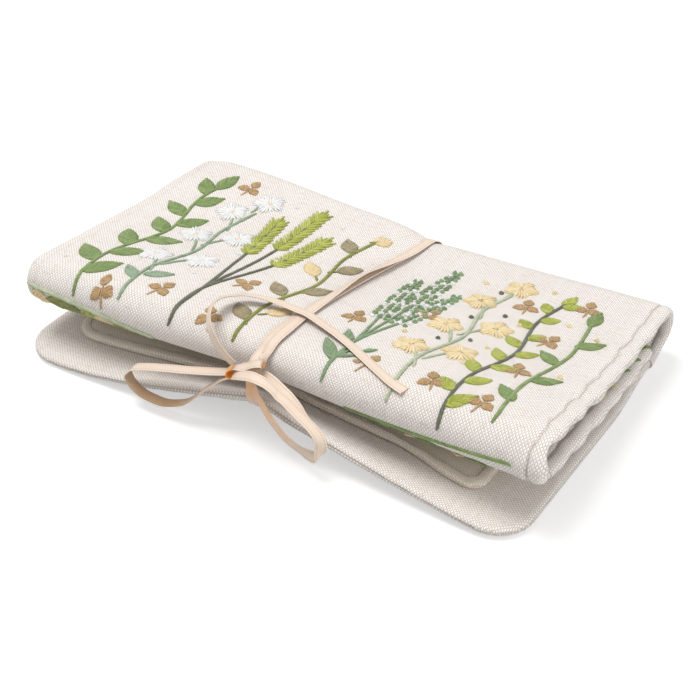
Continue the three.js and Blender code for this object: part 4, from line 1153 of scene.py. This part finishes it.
# %% Geometry Nodes: a thread for each stitch, a wound knot for each seed
def thread_tree(name, numbers):
    """A tree with a geometry and a thread input, and named numbers, with its two end nodes."""
    tree = bpy.data.node_groups.new(name, "GeometryNodeTree")
    tree.interface.new_socket("Geometry", in_out="INPUT", socket_type="NodeSocketGeometry")
    for label, value in numbers:
        tree.interface.new_socket(label, in_out="INPUT", socket_type="NodeSocketFloat").default_value = value
    tree.interface.new_socket("Thread", in_out="INPUT", socket_type="NodeSocketMaterial")
    tree.interface.new_socket("Geometry", in_out="OUTPUT", socket_type="NodeSocketGeometry")
    return tree, tree.nodes.new("NodeGroupInput"), tree.nodes.new("NodeGroupOutput")


def lay_on_points(tree, gin, gout, shape):
    """Turned and sized copies of a shape on the points, made real, with the thread's finish."""
    link = tree.links.new
    turn, size = (tree.nodes.new("GeometryNodeInputNamedAttribute") for _ in range(2))
    for node, label in ((turn, "turn"), (size, "size")):
        node.data_type = "FLOAT_VECTOR"
        node.inputs["Name"].default_value = label
    to_turn = tree.nodes.new("FunctionNodeEulerToRotation")
    link(turn.outputs["Attribute"], to_turn.inputs[0])
    copies = tree.nodes.new("GeometryNodeInstanceOnPoints")
    link(gin.outputs["Geometry"], copies.inputs["Points"])
    link(shape, copies.inputs["Instance"])
    link(to_turn.outputs[0], copies.inputs["Rotation"])
    link(size.outputs["Attribute"], copies.inputs["Scale"])
    real = tree.nodes.new("GeometryNodeRealizeInstances")
    link(copies.outputs[0], real.inputs[0])
    smooth = tree.nodes.new("GeometryNodeSetShadeSmooth")
    link(real.outputs[0], smooth.inputs["Geometry"])
    dressed = tree.nodes.new("GeometryNodeSetMaterial")
    link(smooth.outputs[0], dressed.inputs["Geometry"])
    link(gin.outputs["Thread"], dressed.inputs["Material"])
    link(dressed.outputs[0], gout.inputs["Geometry"])


def thread_round(tree, curve, sides, scale):
    """A round thread along a curve, which remembers how far along and round it each point is."""
    link = tree.links.new
    factor = tree.nodes.new("GeometryNodeSplineParameter")
    kept = tree.nodes.new("GeometryNodeStoreNamedAttribute")
    kept.inputs["Name"].default_value = "along"
    link(curve, kept.inputs["Geometry"])
    link(factor.outputs["Factor"], kept.inputs["Value"])
    circle = tree.nodes.new("GeometryNodeCurvePrimitiveCircle")
    circle.inputs["Resolution"].default_value = sides
    circle.inputs["Radius"].default_value = 0.5
    ring = tree.nodes.new("GeometryNodeStoreNamedAttribute")
    ring.inputs["Name"].default_value = "around"
    link(circle.outputs[0], ring.inputs["Geometry"])
    link(factor.outputs["Factor"], ring.inputs["Value"])
    body = tree.nodes.new("GeometryNodeCurveToMesh")
    link(kept.outputs[0], body.inputs["Curve"])
    link(ring.outputs[0], body.inputs["Profile Curve"])
    link(scale, body.inputs["Scale"])
    body.inputs["Fill Caps"].default_value = True
    return body.outputs[0]


def stitch_tree():
    """A stitch is a line bent into a hump, thinner where it goes into the cloth."""
    tree, gin, gout = thread_tree("sewn stitches", [("Hump", 0.55), ("Taper", 0.45)])
    link, w = tree.links.new, Wires(tree)
    line = tree.nodes.new("GeometryNodeCurvePrimitiveLine")
    line.inputs["Start"].default_value, line.inputs["End"].default_value = (-0.5, 0, 0), (0.5, 0, 0)
    cut = tree.nodes.new("GeometryNodeResampleCurve")
    link(line.outputs[0], cut.inputs["Curve"])
    cut.inputs["Count"].default_value = 6
    factor = tree.nodes.new("GeometryNodeSplineParameter")
    side = w.math("MULTIPLY_ADD", factor.outputs["Factor"], 2.0, -1.0)
    square = w.math("MULTIPLY", side, side)
    rise = w.math("MULTIPLY", w.math("SUBTRACT", 0.8, square), gin.outputs["Hump"])
    hump = tree.nodes.new("GeometryNodeSetPosition")
    link(cut.outputs[0], hump.inputs["Geometry"])
    link(w.vector(0.0, 0.0, rise), hump.inputs["Offset"])
    fourth = w.math("MULTIPLY", square, square)
    thin = w.math("SUBTRACT", 1.0, w.math("MULTIPLY", fourth, gin.outputs["Taper"]))
    lay_on_points(tree, gin, gout, thread_round(tree, hump.outputs[0], 6, thin))
    return tree


def knot_tree():
    """A knot is a thread wound inwards and upwards."""
    tree, gin, gout = thread_tree("wound knots", [("Turns", 1.7)])
    wound = tree.nodes.new("GeometryNodeCurveSpiral")
    wound.inputs["Resolution"].default_value = 7
    tree.links.new(gin.outputs["Turns"], wound.inputs["Rotations"])
    wound.inputs["Start Radius"].default_value = 0.34
    wound.inputs["End Radius"].default_value = 0.1
    wound.inputs["Height"].default_value = 0.32
    slim = tree.nodes.new("ShaderNodeValue")
    slim.outputs[0].default_value = 0.5
    lay_on_points(tree, gin, gout, thread_round(tree, wound.outputs[0], 5, slim.outputs[0]))
    return tree


sewn_stitches, wound_knots = stitch_tree(), knot_tree()
print("nodes of a stitch and a knot", len(sewn_stitches.nodes), len(wound_knots.nodes))


# %% From points on the cloth to plain thread pieces
def thread_piece(name, tree, points, turns, sizes, tones, finish):
    """One plain mesh of thread, laid by a tree on points with a turn, a size and a tone each."""
    mesh = bpy.data.meshes.new(name + "_points")
    mesh.from_pydata((np.asarray(points) * MM).tolist(), [], [])
    for label, kind, key, values in (("turn", "FLOAT_VECTOR", "vector", turns),
                                     ("tone", "FLOAT", "value", tones),
                                     ("size", "FLOAT_VECTOR", "vector", np.asarray(sizes) * MM)):
        kept = mesh.attributes.new(label, kind, "POINT")
        kept.data.foreach_set(key, np.asarray(values, np.float32).ravel())
    carrier = bpy.data.objects.new(name + "_points", mesh)
    scene.collection.objects.link(carrier)
    made = carrier.modifiers.new("thread", "NODES")
    made.node_group = tree
    inputs = {s.name: s.identifier for s in tree.interface.items_tree if s.in_out == "INPUT"}
    made[inputs["Thread"]] = finish
    seen = bpy.context.evaluated_depsgraph_get()
    plain = bpy.data.meshes.new_from_object(carrier.evaluated_get(seen), preserve_all_data_layers=True,
                                            depsgraph=seen)
    plain.name = name
    for label in ("turn", "size"):
        if label in plain.attributes:
            plain.attributes.remove(plain.attributes[label])
    bpy.data.objects.remove(carrier)
    piece = bpy.data.objects.new(name, plain)
    scene.collection.objects.link(piece)
    return piece


# %% Stitches of each motif
STEM_STEP, GRAIN_STEP, BUD_STEP = 1.35, 3.1, 2.7


def toward(angle):
    return np.array([math.cos(angle), math.sin(angle)])


def beside(d):
    return np.array([-d[1], d[0]])


def step_of(d):
    return d / max(np.linalg.norm(d), 1e-6)


class Hoop:
    """Cloth stretched for stitching: keeps stitches and knots, drawn in millimetres on the flat cloth."""

    def __init__(self, seed):
        self.stitches, self.knots, self.rng = {}, {}, np.random.default_rng(seed)

    def stitch(self, thread, a, b, width, lift=0.0):
        self.stitches.setdefault(thread, []).append((*a, *b, width, lift))

    def knot(self, thread, at, size=2.0):
        self.knots.setdefault(thread, []).append((*at, size))

    def stem(self, thread, stops, width=1.15, step=STEM_STEP):
        """Stem stitch: short slanted stitches, each starting beside the one before."""
        flat = smooth_route([(x, s, 0.0) for x, s in stops], 12 * len(stops))[:, :2]
        run = run_along(flat)
        at = np.arange(0, run[-1], step)
        path = np.stack([np.interp(at, run, flat[:, k]) for k in (0, 1)], -1)
        for i in range(len(path) - 2):
            slant = 0.2 * beside(step_of(path[i + 2] - path[i]))
            self.stitch(thread, path[i] - slant, path[i + 2] + slant, width * self.rng.uniform(0.92, 1.08))
        return path

    def leaf(self, thread, base, tip, width, vein=None, step=0.62):
        """Fishbone stitch: slanting stitches from the edges down to the middle of the leaf."""
        base, tip = np.array(base, float), np.array(tip, float)
        axis = tip - base
        length = np.linalg.norm(axis)
        axis = axis / length
        side = beside(axis)
        for i, t in enumerate(np.arange(0.02, 0.97, step / length)):
            half = width / 2 * math.sin(math.pi * min(1, t + 0.06) ** 0.82) ** 0.8
            start = base + axis * length * max(0.0, t - 0.2) + side * self.rng.uniform(-0.12, 0.12)
            for sign in (-1, 1):
                edge = base + axis * length * min(1.0, t + 0.03) + side * sign * max(half, 0.25)
                self.stitch(thread, start, edge, 0.82 * self.rng.uniform(0.9, 1.12), 0.12 * (i % 2))
        if vein:
            self.stem(vein, [base - axis * 1.5, base + axis * length * 0.5, tip - axis * 1.0], 0.7, 1.2)

    def petal(self, thread, centre, angle, inner, outer, width, count=5):
        """Satin stitch: threads side by side from the heart of a flower to the rim of one petal."""
        d = toward(angle)
        n = beside(d)
        for k in np.linspace(-1, 1, count):
            reach = outer - (outer - inner) * 0.3 * abs(k) ** 2.2
            self.stitch(thread, np.array(centre) + d * inner + n * k * width * 0.2,
                        np.array(centre) + d * reach + n * k * width * 0.42,
                        1.1 * self.rng.uniform(0.9, 1.1), 0.18 * (1 - abs(k)))

    def blossom(self, thread, centre, size, heart, petals=5):
        """Satin petals round a heart of three knots."""
        turn = self.rng.uniform(0, 2 * math.pi)
        for k in range(petals):
            self.petal(thread, centre, turn + 2 * math.pi * k / petals, size * 0.16, size, size * 0.95)
        for k in range(3):
            self.knot(heart, np.array(centre) + 0.75 * toward(turn + 2.1 * k), 1.5)

    def clover(self, thread, centre, size, angle):
        """Three round leaflets set apart round a short stalk."""
        centre = np.array(centre, float)
        for turn in (0.0, 2.1, 4.2):
            d = toward(angle + turn)
            self.leaf(thread, centre + 0.22 * size * d, centre + 1.12 * size * d, size * 0.72)
        d = toward(angle + math.pi)
        self.stem(thread, [centre, centre + 0.7 * size * d, centre + 1.4 * size * d], 0.75)

    def laurel(self, leaf, stalk, stops, first, gap, length, width):
        """Leaves by turns on either side of a stalk, smaller towards its end, and one at the tip."""
        path = self.stem(stalk, stops)
        whole = (len(path) - 1) * STEM_STEP
        side = 1
        for at in np.arange(first, whole, gap):
            i = min(int(at / STEM_STEP), len(path) - 3)
            d = step_of(path[i + 2] - path[i])
            out = toward(math.atan2(d[1], d[0]) + side * 0.82)
            scale = length * (1 - 0.3 * at / whole) * self.rng.uniform(0.92, 1.06)
            self.leaf(leaf, path[i] + 0.8 * out, path[i] + scale * out, width * (1 - 0.2 * at / whole))
            side = -side
        d = step_of(path[-1] - path[-4])
        self.leaf(leaf, path[-2], path[-2] + d * length * 0.75, width * 0.8)

    def wheat(self, grain, stalk, stops, ear, size=4.6):
        """Pairs of grains down from the tip of a stalk."""
        path = self.stem(stalk, stops, 1.05)
        for k in range(int(ear / GRAIN_STEP)):
            i = max(0, len(path) - 3 - int(k * GRAIN_STEP / STEM_STEP))
            d = step_of(path[min(i + 2, len(path) - 1)] - path[i])
            for side in (-1, 1):
                a = math.atan2(d[1], d[0]) + side * 0.62
                reach = size * self.rng.uniform(0.9, 1.08)
                self.petal(grain, path[i] + 0.5 * toward(a), a, 0.2, reach, 2.9, 3)
        d = path[-1] - path[-4]
        self.petal(grain, path[-2], math.atan2(d[1], d[0]), 0.0, size * 1.1, 2.8, 3)

    def lavender(self, bud, stalk, stops, spike, tip):
        """Rows of three knots down from the tip of a stalk, with a lighter one here and there."""
        path = self.stem(stalk, stops, 0.95)
        for k in range(int(spike / BUD_STEP)):
            x, s = path[max(0, len(path) - 2 - int(k * BUD_STEP / STEM_STEP))]
            thick = 1.1 + 1.5 * min(1, k / 4)
            for side in (-1, 0, 1):
                j = self.rng.uniform(-0.25, 0.25)
                self.knot(tip if (k + side) % 4 == 0 else bud,
                          (x + side * thick, s + j + 0.6 * abs(side)), 2.1)


# %% Laying the threads on a panel
SHORTEST_STITCH, RIBBON_ROOM = 0.15, 2.5


def place_stitches(rows, place):
    """The middle, normal, direction and size of each stitch on the cloth."""
    x0, s0, x1, s1, width, lift = rows.T
    mid, up = place((x0 + x1) / 2, (s0 + s1) / 2)
    start, _ = place(x0, s0)
    end, _ = place(x1, s1)
    along = end - start
    length = np.linalg.norm(along, axis=1)
    return mid + up * lift[:, None], up, along, np.stack([length + 0.25 * width, width, 0.62 * width], -1)


def place_knots(rows, place, rng):
    """The middle, normal, direction and size of each knot, turned at random."""
    mid, up = place(rows[:, 0], rows[:, 1])
    spin = rng.uniform(0, 2 * math.pi, len(rows))
    along = np.stack([np.cos(spin), np.sin(spin), 0 * spin], -1)
    return mid, up, along, np.stack([rows[:, 2]] * 3, -1) * rng.uniform(0.9, 1.1, (len(rows), 1))


def sew(hoop, name, body, place, avoid=(), blend=None):
    """Sets every stitch and knot of a hoop on the cloth that place() finds, clear of the routes to
    avoid, and gives the pieces to a body, or, with blend, leaves them fixed where they are."""
    made = []
    everything = [(t, "stitches", v) for t, v in hoop.stitches.items()]
    everything += [(t, "knots", v) for t, v in hoop.knots.items()]
    for thread, kind, rows in everything:
        rows = np.array(rows, float)
        if kind == "stitches":
            mid, up, along, sizes = place_stitches(rows, place)
        else:
            mid, up, along, sizes = place_knots(rows, place, hoop.rng)
        keep = (np.linalg.norm(along, axis=1) > SHORTEST_STITCH) & np.isfinite(mid).all(1)
        for route in avoid:
            keep &= np.linalg.norm(mid[:, None] - route[None], axis=2).min(1) > RIBBON_ROOM
        if not keep.any():
            continue
        mid, up, along, sizes = mid[keep], up[keep], along[keep], sizes[keep]
        x = along - (along * up).sum(1, keepdims=True) * up
        x /= np.maximum(np.linalg.norm(x, axis=1, keepdims=True), 1e-9)
        y = np.cross(up, x)
        turns = [Matrix((u, v, n)).transposed().to_euler() for u, v, n in zip(x, y, up)]
        tones = np.clip(hoop.rng.normal(0.55, 0.24, len(mid)), 0, 1)
        piece = thread_piece(f"{name}_{thread}_{kind}", sewn_stitches if kind == "stitches" else wound_knots,
                             mid, [tuple(t) for t in turns], sizes, tones, thread_finishes[thread])
        if blend:
            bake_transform(piece)
        else:
            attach(piece, body)
        made.append(piece)
    print(name, len(made), "pieces,", sum(len(p.data.polygons) for p in made), "faces")


RAY_START, RAY_REACH = 9, 0.03


def cloth_finder(piece, panel, rows, run, side):
    """place(x, s): the point of a finished pad's ply straight below where the flat cloth says, and
    its normal."""
    tree = BVHTree.FromPolygons([v.co for v in piece.data.vertices],
                                [tuple(p.vertices) for p in piece.data.polygons])

    def place(x, s):
        v = np.interp(s, run, rows)
        n = normal_of(panel, x, v) * side
        p = panel["surface"](x, v) + n * panel.get("base", 0.0) * side
        points, normals = np.zeros_like(p), np.zeros_like(p)
        for i in range(len(p)):
            above = Vector((p[i] + RAY_START * n[i]) * MM)
            hit, normal, _, _ = tree.ray_cast(above, Vector(-n[i]), RAY_REACH)
            if hit is None:
                points[i] = np.nan
                normals[i] = n[i]
            else:
                points[i] = np.array(hit) / MM
                normals[i] = np.array(normal) if np.dot(normal, n[i]) > 0.2 else n[i]
        return points, normals

    return place


# %% [markdown]
# ### The pattern
# Sprigs stand side by side from the front fold to the spine: leafy laurel, blossoms, wheat,
# broad leaves, lavender, with clover and single knots in the gaps. It is a sampler of ordinary
# embroidery motifs, in soft greens, cream, white, ochre and taupe. Positions are millimetres
# along the book, and along the cloth from the spine to the fold.

# %% Motifs on the front cover
def middle(a, b, lift=0.0):
    return ((a[0] + b[0]) / 2, (a[1] + b[1]) / 2 - lift)


front = Hoop(11)
front.laurel("leaf", "leaf", [(-77, 104), (-80, 80), (-76, 52), (-81, 26), (-79, 14)], 7, 8.6, 15.5, 6.6)
for tip, ear in (((-46, 22), 30), ((-35, 9), 33), ((-24, 24), 28)):
    front.wheat("lime", "slate", [(-36, 103), (-36.5, 84), ((tip[0] - 36) / 2, 56), tip], ear)
front.stem("sage", [(-58, 101), (-60, 82), (-57, 60), (-60, 40), (-57, 22)])
for at, branch in (((-66, 72), 84), ((-50, 66), 78), ((-66, 48), 60), ((-51, 42), 54),
                   ((-65, 26), 38), ((-56, 14), 22)):
    front.stem("sage", [(-58.5, branch), ((at[0] - 58.5) / 2 - 0.5, (branch + at[1]) / 2 - 2), at], 0.9)
    front.blossom("white", at, 5.6, "cream")
for base, tip in (((-59, 92), (-67, 86)), ((-58, 88), (-50, 82))):
    front.leaf("sage", base, tip, 3.8)
front.stem("moss", [(-11, 101), (-13, 78), (-9, 54), (-12, 30), (-9, 12)])
for at, branch, tone in (
        ((-21, 84), 93, "taupe"), ((-4, 76), 86, "cream"), ((-21, 62), 71, "taupe"), ((-2, 54), 64, "taupe"),
        ((-21, 40), 50, "cream"), ((-3, 32), 42, "taupe"), ((-18, 18), 27, "taupe"), ((-5, 8), 15, "cream")):
    base = (-11 + (at[0] + 11) * 0.25, branch + (at[1] - branch) * 0.25)
    front.stem("moss", [(-11, branch), middle((-11, branch), base), base], 0.9)
    front.leaf(tone, base, at, 5.2, "moss")
for tip, spike in (((17, 24), 38), ((26, 10), 44), ((35, 27), 36)):
    front.lavender("fern", "fern", [(25, 103), (25, 84), ((tip[0] + 25) / 2, 58), tip], spike, "white")
for base, tip in (((25, 96), (16, 86)), ((25, 94), (34, 84)), ((25, 88), (19, 77))):
    front.leaf("fern", base, tip, 3.6)
front.stem("mist", [(49, 102), (47, 80), (51, 56), (47, 34), (50, 18)])
for at, branch in (((41, 74), 86), ((56, 68), 80), ((42, 52), 62), ((57, 44), 56),
                   ((43, 28), 40), ((51, 12), 20)):
    front.stem("mist", [(49, branch), middle((49, branch), at, 2), at], 0.95)
    front.blossom("cream", at, 5.4, "ochre")
for at in ((45, 63), (54, 57), (46, 41), (55, 33), (46, 18)):
    front.knot("slate", at, 2.0)
front.laurel("lime", "slate", [(68, 104), (66, 82), (70, 56), (66, 30), (69, 12)], 6, 7.0, 10.5, 4.6)
front.stem("leaf", [(84, 98), (82, 74), (85, 46), (82, 20)])
for at, angle in (((84, 86), -2.4), ((82.5, 70), -0.6), ((84, 54), -2.5), ((84, 38), -0.7), ((82, 22), -1.6)):
    front.leaf("leaf", at, (at[0] + 10 * math.cos(angle), at[1] + 10 * math.sin(angle)), 4.4)
for at, angle in (((-66, 100), 4.4), ((-47, 92), 5.0), ((-24, 96), 4.2), ((-27, 70), 5.2), ((36, 92), 4.9),
                  ((58, 90), 4.3), ((77, 92), 4.8), ((76, 66), 4.4), ((75, 40), 5.0), ((77, 12), 4.6),
                  ((58, 22), 4.5), ((34, 48), 4.9), ((-68, 9), 4.8), ((15, 66), 4.6)):
    front.clover("ochre", at, 4.4, angle)
for at in ((-44, 52), (-30, 48), (-46, 76), (17, 46), (34, 66), (62, 36), (61, 58), (60, 74),
           (76, 26), (-90, 92), (-46, 10), (-24, 12), (38, 14), (62, 8), (89, 62), (88, 30)):
    front.knot("white" if at[0] < 20 else "cream", at, 1.9)
print("threads on the cover", sorted(front.stitches))

# %% Motifs round the front fold
front.stem("mist", [(-98, 105.0), (-82, 106.2), (-64, 107.8), (-44, 109.6)], 1.6)
for x, reach, tone in ((-97, 8, "cream"), (-90, 16, "moss"), (-75, 7, "lime"), (-69, 9, "cream"),
                       (-61, 11, "moss")):
    below = 107.6 + 0.09 * (x + 97)
    front.leaf(tone, (x, below), (x + reach, below + 1.6), 4.2)
front.stem("leaf", [(93, 106.2), (76, 107.6), (62, 108.5), (47, 109.1), (33, 109.6)], 1.1)
for x in (84, 66, 50):
    front.leaf("leaf", (x, 111.2), (x - 9, 113.6), 3.4)
for x in (74, 57):
    front.blossom("cream", (x, 115), 3.4, "ochre")
print("stitches on the cover and its fold", sum(map(len, front.stitches.values())))

# %% Motifs inside the fold, on the flap and under the book
flap_under = Hoop(12)
flap_under.laurel("moss", "mist", [(-92, 124), (-76, 122), (-58, 126), (-40, 124)], 5, 8.5, 11, 5)
flap_under.laurel("leaf", "leaf", [(88, 126), (72, 123), (52, 127), (34, 124)], 5, 8.5, 10, 4.4)
for k, x in enumerate((-86, -72, -60, -46, -30, 26, 44, 60, 78)):
    flap_under.blossom("cream" if k % 2 else "lime", (x, 136 + 3 * (k % 3)), 4.6, "ochre")
inside_flap = Hoop(13)
for side in (1, -1):
    stalk = [(84 * side, 136), (88 * side, 158), (84 * side, 178), (87 * side, 200)]
    inside_flap.laurel("leaf", "leaf", stalk, 5, 8, 10, 4.4)
for y, tone in ((158, "cream"), (167, "cream"), (178, "leaf"), (187, "leaf"), (196, "leaf")):
    inside_flap.leaf(tone, (93, y), (100, y + 5), 4.2)
for y in (142, 164, 186):
    for x in (77, -77):
        inside_flap.blossom("cream", (x, y), 4.6, "ochre")
under_book = Hoop(14)
under_book.laurel("leaf", "leaf", [(-88, 42), (-80, 10), (-84, -20), (-78, -44)], 6, 9, 14, 6)
under_book.laurel("leaf", "fern", [(90, 44), (84, 14), (88, -16), (80, -46)], 6, 9, 14, 6)
for tip in ((-52, -40), (-40, -48), (-28, -38)):
    under_book.wheat("lime", "slate", [(-40, 40), (-40, 16), ((tip[0] - 40) / 2, -12), tip], 30)
for tip in ((30, -40), (42, -48), (54, -38)):
    under_book.lavender("fern", "fern", [(42, 40), (42, 16), ((tip[0] + 42) / 2, -12), tip], 38, "white")
for at in ((-62, 20), (-62, -22), (-18, 6), (20, 8), (64, 22), (64, -18)):
    under_book.blossom("cream", at, 5.4, "ochre")
for hoop in (front, flap_under, inside_flap, under_book):
    print("stitches", sum(map(len, hoop.stitches.values())), "knots", sum(map(len, hoop.knots.values())))

# %% Topstitching round the page
SEWN_BACK, STITCH_STEP, STITCH_LENGTH = 42.0, 3.0, 2.35
page_edge = Hoop(15)


def page_corner(side, radius):
    """From the back of one end of the page to its front hem, along the stitches."""
    within = radius - STITCH_INSET
    bend = [(side * (PAGE_HALF - radius + within * math.sin(a)), PAGE_FRONT + radius - within * math.cos(a))
            for a in np.linspace(0, np.pi / 2, 12)[::-1]]
    return [(side * (PAGE_HALF - STITCH_INSET), SEWN_BACK)] + bend


left_corner, right_corner = (page_corner(side, radius) for side, radius in zip((-1, 1), PAGE_CORNERS))
hem = [((1 - k) * right_corner[-1][0] - k * 60, PAGE_FRONT + STITCH_INSET) for k in (0.9, 0.6, 0.3)]
path = np.stack(lay_page(*np.array(left_corner + hem + right_corner[::-1]).T), -1)
run = run_along(path)
for at in np.arange(1.0, run[-1] - STITCH_STEP, STITCH_STEP):
    a, b = (np.array([np.interp(q, run, path[:, k]) for k in (0, 1)]) for q in (at, at + STITCH_LENGTH))
    page_edge.stitch("linen", a, b, 0.62)
print("topstitches", len(page_edge.stitches["linen"]))

# %% Sew everything on
flat_rows = np.linspace(-70, 60, 261)
routes = [r / MM for r in (wrap_line, second_line, tail_line, left_line, right_line)]
page_panel = dict(stack, base=PAGE_BASE)
sew(front, "cover_sprigs", "front_cover", cloth_finder(cover_pad, cover, cover_rows, cover_run, -1), routes)
sew(flap_under, "flap_sprigs", None, cloth_finder(inner_pad, inner, inner_rows, inner_run, -1),
    blend=on_flap)
sew(inside_flap, "flap_inside_sprigs", None, cloth_finder(inner_pad, inner, inner_rows, inner_run, 1),
    blend=on_flap)
sew(under_book, "under_sprigs", "back_cover", cloth_finder(back_pad, stack, flat_rows, flat_rows, -1), routes)
sew(page_edge, "page_topstitch", "page", cloth_finder(page_pad, page_panel, flat_rows, flat_rows, 1))

# %% [markdown]
# ## Floor and light
# The book lies on a plain white table in soft light. A dome of white light fills the shade, a
# lamp above the book's left end gives the top its lead over the front, and a weaker one from the
# right opens up the shade there. The floor shows white to the camera and keeps the book's soft
# shadow.

# %% Floor
FLOOR_HALF, FLOOR_Z, FLOOR_GREY, FLOOR_GLOW = 6, -0.0002, 0.62, 0.48
corners = [(x * FLOOR_HALF, y * FLOOR_HALF, FLOOR_Z) for x, y in ((-1, -1), (1, -1), (1, 1), (-1, 1))]
floor_mesh = bpy.data.meshes.new("floor")
floor_mesh.from_pydata(corners, [], [(0, 1, 2, 3)])
floor = bpy.data.objects.new("floor", floor_mesh)
scene.collection.objects.link(floor)


def seen_directly(w):
    """1 for what the camera sees, straight or in a reflection, and 0 for light on the object."""
    rays = w.tree.nodes.new("ShaderNodeLightPath")
    return w.math("MAXIMUM", rays.outputs["Is Camera Ray"],
                  w.math("MAXIMUM", rays.outputs["Is Glossy Ray"], rays.outputs["Is Transmission Ray"]))


white, tree, shader = new_finish("white_table", 0.9, 0.0)
shader.inputs["Base Color"].default_value = (FLOOR_GREY, FLOOR_GREY, FLOOR_GREY, 1)
shader.inputs["Emission Color"].default_value = (1, 1, 1, 1)
w = Wires(tree)
tree.links.new(w.math("MULTIPLY", seen_directly(w), FLOOR_GLOW), shader.inputs["Emission Strength"])
floor_mesh.materials.append(white)
print("floor", [round(d, 1) for d in floor.dimensions])

# %% Light
DOME_LIGHT, WHITE = 0.51, 1.0
world = bpy.data.worlds.new("studio")
world.use_nodes = True
scene.world = world
w = Wires(world.node_tree)
dome = world.node_tree.nodes["Background"]
dome.inputs["Color"].default_value = (1, 1, 1, 1)
w.put(dome.inputs["Strength"], w.span(seen_directly(w), 0, 1, DOME_LIGHT, WHITE))


def lamp(name, place, target, size, power):
    data = bpy.data.lights.new(name, "AREA")
    data.size, data.energy = size, power
    light = bpy.data.objects.new(name, data)
    light.location = place
    light.rotation_euler = (Vector(target) - Vector(place)).to_track_quat("-Z", "Y").to_euler()
    scene.collection.objects.link(light)


lamp("key", (-0.3, -0.1, 1.1), (0, 0, 0), 0.6, 8.9)
lamp("fill", (1.1, -0.15, 0.42), (0, 0, 0.02), 0.8, 5.2)
